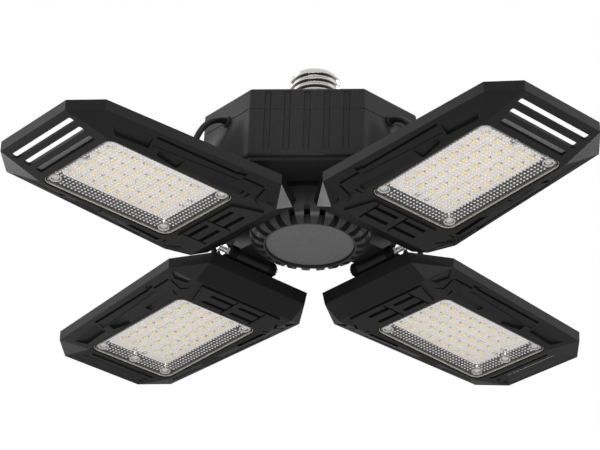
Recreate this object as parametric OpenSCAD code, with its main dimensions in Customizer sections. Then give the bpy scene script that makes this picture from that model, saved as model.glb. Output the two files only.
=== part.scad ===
// Screw-in ceiling light: a driver housing, a slotted hub and four LED panels on hinges.
// Millimetres, +Z up. The origin is on the lamp's axis, where the screw shell meets the neck.
// Panels are numbered counter-clockwise seen from above, starting between +X and +Y.
// In a panel's own frame x runs outwards, y runs counter-clockwise and z = 0 is its rear edge.

/* [Screw base] */
// Diameter over the thread crests
shell_d = 26.2; // [25.4:0.1:27]
// Depth of the rolled thread
thread_depth = 1.3; // [0.6:0.1:1.8]
// Distance between two thread crests
thread_pitch = 3.63; // [3:0.01:4.2]
// Number of thread crests
thread_crests = 4; // [3:1:5]
// Diameter of the plain skirt under the thread
skirt_d = 26.6; // [26.4:0.1:29]
// Height of the plain skirt
skirt_h = 4; // [2:0.1:8]
// Wall of the screw shell
shell_wall = 0.7; // [0.4:0.1:1.2]
// Height of the shell's crown, which closes in over the thread
crown_h = 1; // [0.6:0.1:2]
// Diameter of the insulator where it leaves the crown
insulator_d = 15; // [12:0.1:18]
// Height of the insulator above the crown
insulator_h = 2.4; // [1.5:0.1:5]
// Diameter of the centre contact
contact_d = 9.6; // [7:0.1:11]
// Height of the centre contact
contact_h = 2.1; // [1:0.1:4]

/* [Housing] */
// Height of the tapered neck
neck_h = 18.8; // [14:0.1:30]
// Diameter of the neck where it leaves the cover
neck_d = 46; // [38:0.5:60]
// Width of the octagonal housing across its flats
housing_w = 105; // [96:0.5:116]
// Length of each wide flat seen from above
housing_flat = 55.4; // [50:0.1:62]
// Height of the upper cover
cover_h = 11.6; // [9:0.1:20]
// Height of the lower case
case_h = 26.3; // [22:0.1:40]
// Wall of the cover and the case
housing_wall = 2.4; // [1.6:0.1:3.2]
// Thickness of the bottom plate
plate_t = 2.3; // [2:0.1:4]
// How far the bottom plate's edge sits in from the case
plate_inset = 1.6; // [0.5:0.1:3]
// Number of shallow flutes on each wide flat
flutes = 5; // [3:1:6]
// Distance between two flutes
flute_pitch = 9.6; // [7:0.1:10]
// Width of a flute
flute_w = 2.8; // [1:0.1:4]
// Depth of a flute
flute_depth = 0.5; // [0.2:0.1:1]
// Half-width of the bulge under each cable exit, at its foot
bulge_half = 12.6; // [9:0.1:14]
// How far the bulge stands out at its foot
bulge_out = 8; // [4:0.1:10]

/* [Hub] */
// Diameter of the hub
hub_d = 60.4; // [58:0.1:63]
// Height of the hub under the bottom plate
hub_h = 19; // [17:0.1:26]
// Wall of the hub
hub_wall = 2.6; // [1.8:0.1:3.2]
// Thickness of the hub's top plate
hub_top_t = 3; // [2:0.1:5]
// Diameter of the flange under the bottom plate
flange_d = 64; // [62:0.1:68]
// Thickness of the flange
flange_t = 2; // [1:0.1:3]
// Diameter of the lip around the cap
lip_d = 46.6; // [42:0.1:50]
// Height of the rounded and slotted shoulder
shoulder_h = 6.6; // [5:0.1:8]
// Number of slots in the shoulder
hub_slots = 24; // [12:4:28]
// Width of a slot
hub_slot_w = 3.3; // [1.5:0.1:4]
// Wall of the lip around the cap
lip_wall = 1; // [0.8:0.1:2]
// How far the cap sits up inside the lip
cap_recess = 1.2; // [0.4:0.1:2]
// Thickness of the cap
cap_t = 2; // [1.2:0.1:3]
// Diameter of the moulding dimple in the cap
dimple_d = 4.8; // [2:0.1:8]

/* [Hinges] */
// Distance from the lamp's axis to a hinge axis
axis_u = 39.2; // [38.6:0.1:44]
// Height of a hinge axis above the panel's rear edge
axis_w = 5.8; // [4.2:0.1:7]
// Distance from the panel's rear edge up to the lip of the hub
panel_drop = 1; // [0:0.1:3]
// Radius of the hinge knuckles
knuckle_r = 4; // [3.4:0.1:4]
// Width of the hub's knuckle
knuckle_w = 20.9; // [16:0.1:26]
// Thickness of the bracket's ears
ear_t = 4; // [2:0.1:5]
// How far the hinge sits off the panel's centre line
hinge_shift = 5.8; // [0:0.1:7]
// Gap between the knuckle and each ear
ear_gap = 0.3; // [0.3:0.05:0.6]
// Diameter of the hinge bolt
bolt_d = 3; // [2.5:0.1:4]
// Radial running clearance of the bolt
bolt_play = 0.05; // [0.02:0.01:0.1]
// Rest angle of panel 1, outer end up
tilt_1 = -2; // [-4:0.5:4]
// Rest angle of panel 2, outer end up
tilt_2 = -2; // [-4:0.5:4]
// Rest angle of panel 3, outer end up
tilt_3 = 0; // [-4:0.5:4]
// Rest angle of panel 4, outer end up
tilt_4 = 4; // [-4:0.5:4]

/* [Panel] */
// Distance from the hinge axis back to the panel's inner edge
overhang = 2.7; // [2:0.1:4]
// How far the inner edge leans out from the rear to the foot of the side wall
inner_lean = 2.7; // [0.5:0.1:5]
// Length of a panel
panel_len = 131.8; // [126:0.1:150]
// Width of a panel near the hub
panel_w = 87.3; // [84:0.1:88]
// Width of a panel at its outer corners
panel_w_end = 75.6; // [72:0.1:82]
// Height of the side wall
side_h = 5.3; // [4.6:0.1:8]
// How far the front face stands in front of the side wall
face_h = 5.4; // [4:0.1:7]
// Width of the inner edge
inner_w = 61.6; // [57:0.1:62]
// Length of the outer corner cuts
corner_u = 12.6; // [8:0.1:16]
// Width of the outer corner cuts
corner_v = 13; // [8:0.1:16]
// Distance from the inner edge to the widest place
shoulder_u = 20.4; // [19:0.1:24]
// Wall of the panel frame
frame_wall = 1.8; // [1.4:0.1:2.2]
// Number of air slots at the outer end
end_slots = 3; // [2:1:3]
// Width of an air slot
end_slot_w = 3.3; // [2:0.1:4]
// Distance between two air slots
end_slot_pitch = 6.4; // [5:0.1:6.6]
// Length of the outermost air slot
end_slot_len = 45; // [36:0.5:48]

/* [Lens and LEDs] */
// Length of the clear lens
lens_len = 72.7; // [68:0.1:73]
// Width of the clear lens
lens_w = 49.8; // [46:0.1:51]
// Radius of the lens's corners
lens_r = 4; // [2:0.1:6]
// Distance from the panel's outer end to the lens
lens_from_end = 25; // [24:0.1:30]
// Thickness of the lens
lens_t = 1.6; // [1.2:0.1:2]
// Gap around the lens
lens_gap = 0.3; // [0.1:0.05:0.6]
// Thickness of the gasket behind the lens
gasket_t = 0.8; // [0.5:0.1:1.2]
// Width of the gasket
gasket_w = 2; // [1.2:0.1:2.6]
// Distance from the lens's edge to the board
board_inset = 5; // [4.5:0.1:7]
// Thickness of the LED board
board_t = 1; // [0.8:0.1:1.6]
// LEDs along a panel
leds_long = 8; // [5:1:9]
// LEDs across a panel
leds_wide = 5; // [3:1:6]
// Distance between LEDs along a panel
led_pitch_u = 7; // [5:0.1:7.2]
// Distance between LEDs across a panel
led_pitch_v = 7.3; // [5:0.1:7.4]
// How far the LEDs sit off the board's middle, outwards on panels 3 and 4 and inwards on 1 and 2
led_shift = 3; // [0:0.1:3]
// Height of an LED
led_h = 0.8; // [0.5:0.1:1.2]

/* [Heat sink] */
// Thickness of the heat sink's plate
sink_t = 3; // [2:0.1:4]
// Number of fins
fins = 9; // [5:2:11]
// Distance between two fins
fin_pitch = 6.8; // [5:0.1:7]
// Thickness of a fin
fin_t = 1.6; // [1:0.1:2.4]
// Height of the fins above the plate
fin_h = 6.2; // [3:0.1:9]
// Thickness of the bracket's foot
foot_t = 1.6; // [1.2:0.1:2.4]

/* [Leads] */
// Diameter of the round lead from the housing to each panel
lead_d = 3.1; // [2.4:0.1:3.2]

/* [Hidden] */
$fn = 96;
ROOT_NODES = ["screw_shell", "base_insulator", "centre_contact", "housing_cover", "housing_case",
    "housing_base", "driver_board", "hub", "hub_cap", "lead_grommets", "housing_screws"];
PANEL_NODES = ["panel_frame", "lens", "gasket", "led_board", "leds", "heat_sink", "panel_screws",
    "hinge_bracket", "hinge_bolt", "hinge_nut", "lead_gland", "lead"];

clear = 0.1;                 // gap around a piece that drops into another
over = 0.5;                  // how far a cutter runs past the face that it opens

// Heights, from the origin down
cover_top = -neck_h;
split_z = cover_top - cover_h;
case_bottom = split_z - case_h;
plate_bottom = case_bottom - plate_t;
lip_z = plate_bottom - hub_h;
panel_z = lip_z - panel_drop;

// Screw base
thread_h = thread_crests * thread_pitch;
thread_start = skirt_h + 1.1;
shell_top = thread_start + thread_h;
crown_z = shell_top + crown_h;
flange_z = shell_top - 0.4;
skirt_r = skirt_d / 2 - shell_wall;
crest_r = shell_d / 2;
root_r = crest_r - thread_depth;

// Housing
face_dist = (housing_w + housing_flat) / 2 / sqrt(2);   // from the axis to a narrow face
grommet_r = lead_d / 2 + 2.3;
grommet_neck_r = lead_d / 2 + 1.2;
lead_bore_r = lead_d / 2 + clear;
slot_from = lip_d / 2 - 0.2;
screw_r = 1.5;
screw_head_r = 2.8;
screw_head_h = 1.8;
screw_len = 9;
screw_fit = 0.1;             // radial gap around a screw's shank
boss_r = 4;
case_screw_x = housing_w / 2 - housing_wall - boss_r + 0.8;
case_screw_y = housing_flat / 2 - boss_r - 2;
hub_screw_at = hub_d / 2 - hub_wall - 10;
board_side = housing_w / 2 + 14;
post_h = 5;
circuit_t = 1.6;

// Hinges
tilts = [tilt_1, tilt_2, tilt_3, tilt_4];
bolt_r = bolt_d / 2;
bore_r = bolt_r + bolt_play;
ear_in = knuckle_w / 2 + ear_gap;
ear_out = ear_in + ear_t;
head_h = 2.8;
nut_h = 2.4;
bolt_tail = 4;

// Panel outline
inner_u = axis_u - overhang;
outer_u = inner_u + panel_len;
lower_u = inner_u + inner_lean;
lower_flare = 0.7;
wide_u = inner_u + shoulder_u;
corner_at = outer_u - corner_u;
taper = (panel_w - panel_w_end) / 2 / (corner_at - wide_u);
lens_end = outer_u - lens_from_end;
lens_start = lens_end - lens_len;
lens_mid = (lens_start + lens_end) / 2;
face_end = lens_end + 1.5;
face_half = lens_w / 2 + 1.3;
chin_u = lower_u + 10.3;
chin_half = face_half + taper * (face_end - chin_u);
panel_t = side_h + face_h;

// Panel stack, from the front face back
lens_back = -panel_t + lens_t;
sink_front = -side_h + 0.1;
sink_back = sink_front + sink_t;
foot_back = sink_back + foot_t;
collar_t = 1.4;

// Small screws of a panel: one size throughout
pin_r = 1.2;
pin_head_r = 2.1;
pin_head_h = 1.2;
pin_len = 5.9;
pin_fit = 0.08;
lens_posts = [
    [lens_end - 3.8, lens_w / 2 - 4.1],
    [lens_end - 3.8, -lens_w / 2 + 4.1],
    [lens_end - 3.8, 0],
    [lens_start + 4.2, lens_w / 2 - 3.4],
    [lens_start + 4.2, -lens_w / 2 + 3.4]
];
post_r = 2.4;
lens_post_r = 2.9;
screw_tip = sink_back - pin_len - 0.2;
frame_posts = [
    [lens_start - 9, chin_half - 3],
    [lens_start - 9, -chin_half + 3],
    [lens_end - 9, lens_w / 2 + 2.9],
    [lens_end - 9, -lens_w / 2 - 2.9]
];
foot_u = axis_u + knuckle_r + 1.5;
foot_len = 14;
foot_pin_y = ear_in - pin_head_r - 0.8;
foot_pins = [-foot_pin_y, foot_pin_y];
gland_u = lens_start + 7.4;
gland_r = 4.2;
gland_h = 4;
gland_nut_h = 2.6;

// The lead's route in its arm's own frame: distance from the lamp's axis and height above
// the panel's rear edge. Each route starts in its grommet and ends in its gland.
grommet_w = split_z - panel_z;
lead_mid = [[61.5, 47.7], [66, 45], [70.2, 40.6], [73.4, 35], [75.7, 28.8], [77.1, 22.4], [77.8, 16]];

function arm_angle(i) = 90 * i - 45;
function side(i) = i % 2 == 0 ? 1 : -1;

module at_arm(i) {
    translate([0, 0, panel_z]) rotate([0, 0, arm_angle(i)]) children();
}

module at_panel(i) {
    at_arm(i) translate([axis_u, 0, axis_w]) rotate([0, -tilts[i - 1], 0])
        translate([-axis_u, 0, -axis_w]) children();
}

// Puts the hinge's own frame on its axis: x outwards, y along the bolt towards its nut. The
// hinge sits off centre on its nut's side, mirrored from one panel to the next.
module at_hinge(i) {
    translate([axis_u, side(i) * hinge_shift, axis_w]) mirror([0, 0.5 - side(i) / 2, 0]) children();
}

module rounded_plate(len, wid, r, t) {
    linear_extrude(t) {
        square([len - 2 * r, wid], center = true);
        square([len, wid - 2 * r], center = true);
        for (x = [-1, 1], y = [-1, 1])
            translate([x * (len / 2 - r), y * (wid / 2 - r)]) circle(r);
    }
}

// ---------------------------------------------------------------- screw base

function thread_r(turns) = (crest_r + root_r) / 2 - (crest_r - root_r) / 2 * cos(360 * turns);

module screw_shell() {
    steps = 8 * thread_crests;
    wave = [for (k = [0:steps]) [thread_r(k / 8), thread_start + thread_h * k / steps]];
    inner_r = root_r - shell_wall;
    color("silver") rotate_extrude() difference() {
        polygon(concat([[0, 0], [skirt_d / 2, 0], [skirt_d / 2, skirt_h]], wave,
            [[insulator_d / 2 + 0.4, crown_z], [0, crown_z]]));
        polygon([[-over, -over], [skirt_r, -over], [skirt_r, skirt_h - shell_wall], [inner_r, skirt_h],
            [inner_r, flange_z], [insulator_d / 2, crown_z - 0.4], [insulator_d / 2, crown_z + over],
            [-over, crown_z + over]]);
    }
}

module base_insulator() {
    top = crown_z + insulator_h;
    color("ivory") difference() {
        rotate_extrude() polygon([[0, flange_z - 2], [root_r - shell_wall, flange_z - 2],
            [root_r - shell_wall, flange_z], [insulator_d / 2, flange_z], [insulator_d / 2, crown_z],
            [contact_d / 2 + 0.6, top - 0.5], [contact_d / 2, top], [0, top]]);
        translate([0, 0, flange_z - 2 - over]) cylinder(r = 1.5, h = top - flange_z + 2 + 2 * over);
    }
}

module centre_contact() {
    r = contact_d / 2;
    color("silver") translate([0, 0, crown_z + insulator_h]) rotate_extrude()
        polygon([[0, 0], [r, 0], [r, contact_h * 0.3], [r * 0.85, contact_h * 0.75], [r * 0.6, contact_h],
            [0, contact_h]]);
}

// ---------------------------------------------------------------- housing

function octagon(w, flat) = [for (k = [0:3]) each
    [[w / 2 * cos(90 * k) - flat / 2 * sin(90 * k), w / 2 * sin(90 * k) + flat / 2 * cos(90 * k)],
     [-w / 2 * sin(90 * k) + flat / 2 * cos(90 * k), w / 2 * cos(90 * k) + flat / 2 * sin(90 * k)]]];

// Octagonal block, drawn in from the housing's outline by inset
module octagon_block(inset, z, h) {
    w = housing_w - 2 * inset;
    flat = housing_flat - 2 * inset * tan(22.5);
    translate([0, 0, z]) linear_extrude(h) polygon(octagon(w, flat));
}

module each_corner(distance) {
    for (k = [1:4]) rotate([0, 0, arm_angle(k)]) translate([distance, 0, 0]) children();
}

module each_case_screw() {
    for (s = [0:3]) rotate([0, 0, 90 * s]) translate([case_screw_x, case_screw_y, 0]) children();
}

module flute_cuts(z, h) {
    for (k = [0:3], f = [0:flutes - 1]) rotate([0, 0, 90 * k])
        translate([housing_w / 2 - flute_depth, (f - (flutes - 1) / 2) * flute_pitch - flute_w / 2, z])
            cube([flute_depth + over, flute_w, h]);
}

module lead_holes() {
    each_corner(face_dist - 2 * housing_wall) translate([0, 0, split_z]) rotate([0, 90, 0])
        cylinder(r = grommet_neck_r + clear, h = 4 * housing_wall);
}

module housing_cover() {
    top_in = cover_top - housing_wall;
    neck_in = root_r - shell_wall - 3;
    color("#26272a") difference() {
        union() {
            difference() {
                octagon_block(0, split_z, cover_h);
                octagon_block(housing_wall, split_z - over, top_in - split_z + over);
            }
            translate([0, 0, cover_top]) cylinder(r1 = neck_d / 2, r2 = skirt_d / 2 + 1.5, h = neck_h);
            translate([0, 0, -over]) cylinder(r = skirt_r - clear, h = skirt_h - shell_wall);
            each_case_screw() translate([0, 0, split_z])
                cylinder(r = boss_r, h = cover_top - split_z - over);
        }
        translate([0, 0, cover_top - housing_wall - over])
            cylinder(r1 = neck_d / 2 - housing_wall, r2 = neck_in, h = neck_h + housing_wall + over);
        translate([0, 0, -over * 2]) cylinder(r = neck_in, h = skirt_h + 3 * over);
        each_case_screw() {
            translate([0, 0, split_z - over])
                cylinder(r = screw_r + screw_fit, h = cover_h + 2 * over);
            translate([0, 0, cover_top - screw_head_h])
                cylinder(r = screw_head_r + screw_fit, h = screw_head_h + over);
        }
        lead_holes();
        flute_cuts(split_z - over, cover_h - 2 + over);
    }
}

module bulge() {
    back = (bulge_half * bulge_half - bulge_out * bulge_out) / (2 * bulge_out);
    foot_r = bulge_out + back;
    top_r = back + 0.6;
    intersection() {
        translate([face_dist - back, 0, case_bottom])
            cylinder(r1 = foot_r, r2 = top_r, h = case_h - grommet_r);
        translate([face_dist - housing_wall / 2, -housing_w / 2, case_bottom - over])
            cube([housing_w, housing_w, case_h]);
    }
}

module housing_case() {
    color("#26272a") difference() {
        union() {
            octagon_block(0, case_bottom, case_h);
            each_corner(0) bulge();
        }
        difference() {
            octagon_block(housing_wall, case_bottom - over, case_h + 2 * over);
            each_case_screw() translate([0, 0, case_bottom - over])
                cylinder(r = boss_r, h = case_h + 2 * over);
        }
        each_case_screw() {
            translate([0, 0, case_bottom - over]) cylinder(r = screw_r + screw_fit, h = screw_len + over);
            translate([0, 0, split_z - screw_len]) cylinder(r = screw_r + screw_fit, h = screw_len + over);
        }
        lead_holes();
        flute_cuts(case_bottom + 3.3, case_h);
    }
}

module housing_base() {
    color("#1f2022") difference() {
        union() {
            octagon_block(plate_inset, plate_bottom, plate_t);
            each_corner(board_side / 2) translate([0, 0, case_bottom]) cylinder(r = 3, h = post_h);
            each_corner(hub_screw_at) translate([0, 0, case_bottom]) cylinder(r = boss_r, h = post_h);
        }
        each_case_screw() translate([0, 0, plate_bottom - over])
            cylinder(r = screw_r + screw_fit, h = plate_t + 2 * over);
        each_corner(hub_screw_at) translate([0, 0, plate_bottom - over])
            cylinder(r = screw_r + screw_fit, h = screw_len - hub_top_t + 2 * over);
        translate([0, 0, plate_bottom - over]) cylinder(r = 6, h = plate_t + 2 * over);
    }
}

// A board with a transformer, two capacitors, a row of chokes and a terminal block on it
module driver_board() {
    color("darkgreen") translate([0, 0, case_bottom + post_h]) {
        translate([-board_side / 2, -board_side / 2, 0]) cube([board_side, board_side, circuit_t]);
        translate([12, 10, circuit_t]) cylinder(d = 12, h = 13);
        translate([22, -12, circuit_t]) cylinder(d = 8, h = 10);
        translate([-26, -6, circuit_t]) cube([18, 20, 11]);
        translate([-22, -24, circuit_t]) cube([26, 10, 5]);
        translate([-24, 20, circuit_t]) cube([14, 6, 8]);
    }
}

module housing_screw() {
    cylinder(r = screw_head_r, h = screw_head_h);
    translate([0, 0, screw_head_h]) cylinder(r = screw_r, h = screw_len);
}

module housing_screws() {
    color("#3a3b3e") {
        each_case_screw() {
            translate([0, 0, cover_top]) rotate([180, 0, 0]) housing_screw();
            translate([0, 0, plate_bottom - screw_head_h]) housing_screw();
        }
        each_corner(hub_screw_at) translate([0, 0, plate_bottom - hub_top_t - screw_head_h]) housing_screw();
    }
}

module lead_grommets() {
    color("#151515") each_corner(face_dist) translate([0, 0, split_z]) rotate([0, 90, 0]) difference() {
        union() {
            translate([0, 0, clear]) cylinder(r = grommet_r, h = 1.4);
            translate([0, 0, -housing_wall]) cylinder(r = grommet_neck_r, h = housing_wall + clear);
        }
        translate([0, 0, -housing_wall - over]) cylinder(r = lead_bore_r, h = housing_wall + 3 + over);
    }
}

// ---------------------------------------------------------------- hub

module hub_body() {
    r = hub_d / 2;
    step = 15;
    shoulder = [for (a = [0:step:90])
        [lip_d / 2 + (r - lip_d / 2) * sin(a), lip_z + shoulder_h * (1 - cos(a))]];
    rotate_extrude() polygon(concat([[0, lip_z]], shoulder, [[r, plate_bottom - flange_t],
        [flange_d / 2, plate_bottom - flange_t], [flange_d / 2, plate_bottom], [0, plate_bottom]]));
}

module hub_cavity() {
    r = hub_d / 2 - hub_wall;
    top = plate_bottom - hub_top_t;
    seat = lip_z + cap_recess + cap_t;
    rotate_extrude() polygon([[0, lip_z - over], [lip_d / 2 - lip_wall, lip_z - over],
        [lip_d / 2 - lip_wall, seat], [lip_d / 2 - lip_wall - 1.5, seat],
        [lip_d / 2 - lip_wall - 1.5, seat + 1], [r, lip_z + shoulder_h + 1], [r, top], [0, top]]);
}

// The slots narrow a little outwards
module hub_slot(k) {
    out = hub_d / 2 + over;
    wide = hub_slot_w / 2 + 0.25;
    slim = hub_slot_w / 2 - 0.25;
    rotate([0, 0, 360 / hub_slots * k]) translate([0, 0, lip_z - over]) linear_extrude(shoulder_h + over)
        polygon([[slot_from, -wide], [slot_from, wide], [out, slim], [out, -slim]]);
}

module hub_arm(i) {
    under = 0.7;
    back = plate_bottom - flange_t - panel_z - axis_w - 1;
    root = hub_d / 2 - 8 - axis_u;
    at_arm(i) at_hinge(i) rotate([90, 0, 0]) translate([0, 0, -knuckle_w / 2]) linear_extrude(knuckle_w) {
        circle(knuckle_r);
        polygon([[root, under], [0, under], [2.5, 2.5], [-2, back], [root, back]]);
    }
}

module hub() {
    color("#232426") difference() {
        union() {
            difference() {
                hub_body();
                for (k = [0:hub_slots - 1]) hub_slot(k);
            }
            for (i = [1:4]) hub_arm(i);
        }
        hub_cavity();
        for (i = [1:4]) at_arm(i) at_hinge(i) rotate([90, 0, 0])
            cylinder(r = bore_r, h = knuckle_w + 2 * over, center = true);
        each_corner(hub_screw_at) translate([0, 0, plate_bottom - hub_top_t - over])
            cylinder(r = screw_r + screw_fit, h = hub_top_t + 2 * over);
        translate([0, 0, plate_bottom - hub_top_t - over]) cylinder(r = 6, h = hub_top_t + 2 * over);
    }
}

module hub_cap() {
    z = lip_z + cap_recess;
    color("#2b2c2f") difference() {
        translate([0, 0, z]) cylinder(r = lip_d / 2 - lip_wall - clear, h = cap_t);
        translate([0, 0, z - dimple_d / 2 + 0.5]) sphere(dimple_d / 2);
    }
}

// ---------------------------------------------------------------- panel

// Half of a panel's outline at its side wall, drawn in by inset
function wall_outline(start, half, inset) = [
    [start + inset, half - inset],
    [lower_u + inset, half + lower_flare - inset],
    [wide_u, panel_w / 2 - inset],
    [corner_at, panel_w_end / 2 - inset],
    [outer_u - inset, panel_w_end / 2 - corner_v - inset / 2]
];

function both_sides(half) = concat(half, [for (k = [len(half) - 1:-1:0]) [half[k][0], -half[k][1]]]);

module outline_slice(half, z, t) {
    translate([0, 0, z]) linear_extrude(t) polygon(both_sides(half));
}

// The frame's outer form, or with an inset the hollow behind its wall
module panel_form(inset) {
    thin = 0.01;
    face = [[chin_u + inset, chin_half - inset * 0.6], [face_end - inset, face_half - inset * 0.6]];
    lower = [for (p = wall_outline(inner_u, inner_w / 2, inset)) [max(p[0], lower_u + inset), p[1]]];
    hull() {
        outline_slice(wall_outline(inner_u, inner_w / 2, inset), (inset > 0 ? over : 0) - thin, thin);
        outline_slice(lower, -side_h + inset * 0.4, thin);
        outline_slice(face, -panel_t + inset, thin);
    }
}

module lens_opening(grow, z, h) {
    translate([lens_mid, 0, z]) rounded_plate(lens_len + 2 * grow, lens_w + 2 * grow, lens_r + grow, h);
}

module end_slot(k) {
    u = outer_u - 6 - k * end_slot_pitch;
    len = end_slot_len - 2 * k;
    translate([u, 0, -panel_t - over]) rounded_plate(end_slot_w, len, 0.8, panel_t);
}

// Raised pad with four pockets between the lens and the hub
pad_h = 0.9;
pad_near = chin_u + 2.4;
pad_far = lens_start - 3.6;
module relief_pad() {
    rib = 1.1;
    pocket_u = (pad_far - pad_near - 3 * rib) / 2;
    pocket_v = 14.3;
    difference() {
        translate([0, 0, -panel_t - pad_h]) linear_extrude(pad_h + over)
            polygon([[pad_near, -25.8], [pad_far, -20], [pad_far, 20], [pad_near, 25.8]]);
        for (a = [0, 1], s = [-1, 1])
            translate([pad_near + rib + a * (pocket_u + rib), s * (pocket_v / 2 + 2) - pocket_v / 2,
                -panel_t - pad_h - over])
                cube([pocket_u, pocket_v, pad_h + over]);
    }
}

// Straight groove along a sloping long side: from and to along the panel, at a distance down
// the slope from the side wall's lower edge
module slope_groove(from, to, down, width, depth) {
    slope = atan2(face_h, panel_w / 2 - chin_half - taper * (wide_u - chin_u));
    for (s = [0, 1]) mirror([0, s, 0]) translate([wide_u, panel_w / 2, -side_h])
        rotate([0, 0, -atan(taper)]) rotate([slope, 0, 0])
            translate([from - wide_u, -down - width, -over]) cube([to - from, width, depth + over]);
}

module slope_grooves() {
    slope_groove(wide_u + 21, corner_at - 29, 3.4, 1.6, 0.8);
    slope_groove(wide_u + 7, wide_u + 20, 5.6, 1.4, 0.8);
    slope_groove(wide_u + 13, wide_u + 33, 10.6, 1.4, 0.7);
    slope_groove(corner_at - 48, corner_at - 35, 10.8, 1.4, 0.7);
    slope_groove(corner_at - 30, corner_at - 13, 8.6, 1.4, 0.7);
}

module panel_frame(i) {
    color("#242528") at_panel(i) difference() {
        union() {
            difference() {
                panel_form(0);
                panel_form(frame_wall);
            }
            relief_pad();
            intersection() {
                panel_form(0);
                union() {
                    lens_opening(lens_gap + collar_t, -panel_t, panel_t + sink_front);
                    for (p = frame_posts) translate([p[0], p[1], -panel_t])
                        cylinder(r = post_r, h = panel_t + sink_front);
                }
            }
        }
        lens_opening(lens_gap, -panel_t - over, panel_t + 2 * over);
        for (k = [0:end_slots - 1]) end_slot(k);
        for (p = frame_posts) translate([p[0], p[1], screw_tip]) cylinder(r = pin_r + pin_fit, h = pin_len);
        slope_grooves();
    }
}

module lens(i) {
    color([0.9, 0.93, 0.95, 0.35]) at_panel(i) difference() {
        union() {
            difference() {
                lens_opening(0, -panel_t, panel_t + sink_front - gasket_t);
                lens_opening(-gasket_w, lens_back, panel_t);
            }
            for (p = lens_posts) translate([p[0], p[1], lens_back])
                cylinder(r = lens_post_r, h = sink_front - lens_back);
        }
        for (p = lens_posts) translate([p[0], p[1], screw_tip]) cylinder(r = pin_r + pin_fit, h = pin_len);
    }
}

module gasket(i) {
    color("#c9a66b") at_panel(i) difference() {
        lens_opening(0, sink_front - gasket_t, gasket_t);
        lens_opening(-gasket_w, sink_front - gasket_t - over, gasket_t + 2 * over);
        for (p = lens_posts) translate([p[0], p[1], sink_front - gasket_t - over])
            cylinder(r = lens_post_r + clear, h = gasket_t + 2 * over);
    }
}

module led_board(i) {
    color("white") at_panel(i) difference() {
        translate([lens_mid, 0, sink_front - board_t])
            rounded_plate(lens_len - 2 * board_inset, lens_w - 2 * board_inset, 1, board_t);
        for (p = lens_posts) translate([p[0], p[1], sink_front - board_t - over])
            cylinder(r = lens_post_r + 2 * clear, h = board_t + 2 * over);
    }
}

module leds(i) {
    middle = lens_mid + (i > 2 ? led_shift : -led_shift);
    color("#f6dd8f") at_panel(i) for (a = [0:leds_long - 1], b = [0:leds_wide - 1])
        translate([middle + (a - (leds_long - 1) / 2) * led_pitch_u, (b - (leds_wide - 1) / 2) * led_pitch_v,
            sink_front - board_t - led_h / 2])
            cube([3.5, 2.8, led_h], center = true);
}

module heat_sink(i) {
    fin_from = lens_start + 18;
    fin_to = lens_end - 6;
    edge = frame_wall + 1;
    plate = [[foot_u - 1, inner_w / 2 - 2], [wide_u + 1, panel_w / 2 - edge - 2],
        [lens_end - 9, panel_w_end / 2 - edge], [face_end + 1, face_half - 2]];
    color("#8d9094") at_panel(i) difference() {
        union() {
            outline_slice(plate, sink_front, sink_t);
            for (k = [0:fins - 1]) translate([fin_from, (k - (fins - 1) / 2) * fin_pitch - fin_t / 2, sink_back])
                cube([fin_to - fin_from, fin_t, fin_h]);
        }
        for (p = concat(lens_posts, frame_posts)) translate([p[0], p[1], sink_front - over]) {
            cylinder(r = pin_r + pin_fit, h = sink_t + 2 * over);
            translate([0, 0, sink_t + over]) cylinder(r = pin_head_r + clear, h = fin_h + over);
        }
        for (y = foot_pins) translate([foot_u + foot_len / 2, y + side(i) * hinge_shift, sink_front - over])
            cylinder(r = pin_r + pin_fit, h = sink_t + 2 * over);
        translate([gland_u, 0, sink_front - over]) cylinder(r = lead_bore_r, h = sink_t + 2 * over);
    }
}

module panel_screw() {
    cylinder(r = pin_head_r, h = pin_head_h);
    translate([0, 0, pin_head_h]) cylinder(r = pin_r, h = pin_len);
}

module panel_screws(i) {
    color("#b9bbbe") at_panel(i) {
        for (p = concat(lens_posts, frame_posts)) translate([p[0], p[1], sink_back + pin_head_h])
            rotate([180, 0, 0]) panel_screw();
        for (y = foot_pins) translate([foot_u + foot_len / 2, y + side(i) * hinge_shift, foot_back + pin_head_h])
            rotate([180, 0, 0]) panel_screw();
    }
}

module hinge_bracket(i) {
    foot_end = foot_u - axis_u + foot_len;
    color("#1b1c1e") at_panel(i) difference() {
        union() {
            for (y = [-ear_out, ear_in]) at_hinge(i) translate([0, y + ear_t, 0]) rotate([90, 0, 0])
                linear_extrude(ear_t) {
                    circle(knuckle_r);
                    polygon([[0, -knuckle_r], [foot_u - axis_u, -knuckle_r],
                        [foot_u - axis_u, sink_back - axis_w], [foot_end, sink_back - axis_w],
                        [foot_end, foot_back - axis_w + 1], [7, knuckle_r], [0, knuckle_r]]);
                }
            at_hinge(i) translate([foot_u - axis_u, -ear_out, sink_back - axis_w])
                cube([foot_len, 2 * ear_out, foot_t]);
        }
        at_hinge(i) rotate([90, 0, 0]) cylinder(r = bore_r, h = 2 * ear_out + 2 * over, center = true);
        for (y = foot_pins) translate([foot_u + foot_len / 2, y + side(i) * hinge_shift, sink_back - over])
            cylinder(r = pin_r + pin_fit, h = foot_t + 2 * over);
    }
}

module hinge_bolt(i) {
    color("silver") at_panel(i) at_hinge(i) rotate([-90, 0, 0]) {
        translate([0, 0, -ear_out - head_h]) cylinder(r = bolt_r * 1.85, h = head_h);
        translate([0, 0, -ear_out]) cylinder(r = bolt_r, h = 2 * ear_out + nut_h + bolt_tail);
    }
}

module hinge_nut(i) {
    color("silver") at_panel(i) at_hinge(i) translate([0, ear_out, 0]) rotate([-90, 0, 0]) difference() {
        cylinder(r = bolt_r * 2.1, h = nut_h, $fn = 6);
        translate([0, 0, -over]) cylinder(r = bore_r, h = nut_h + 2 * over);
    }
}

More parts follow.
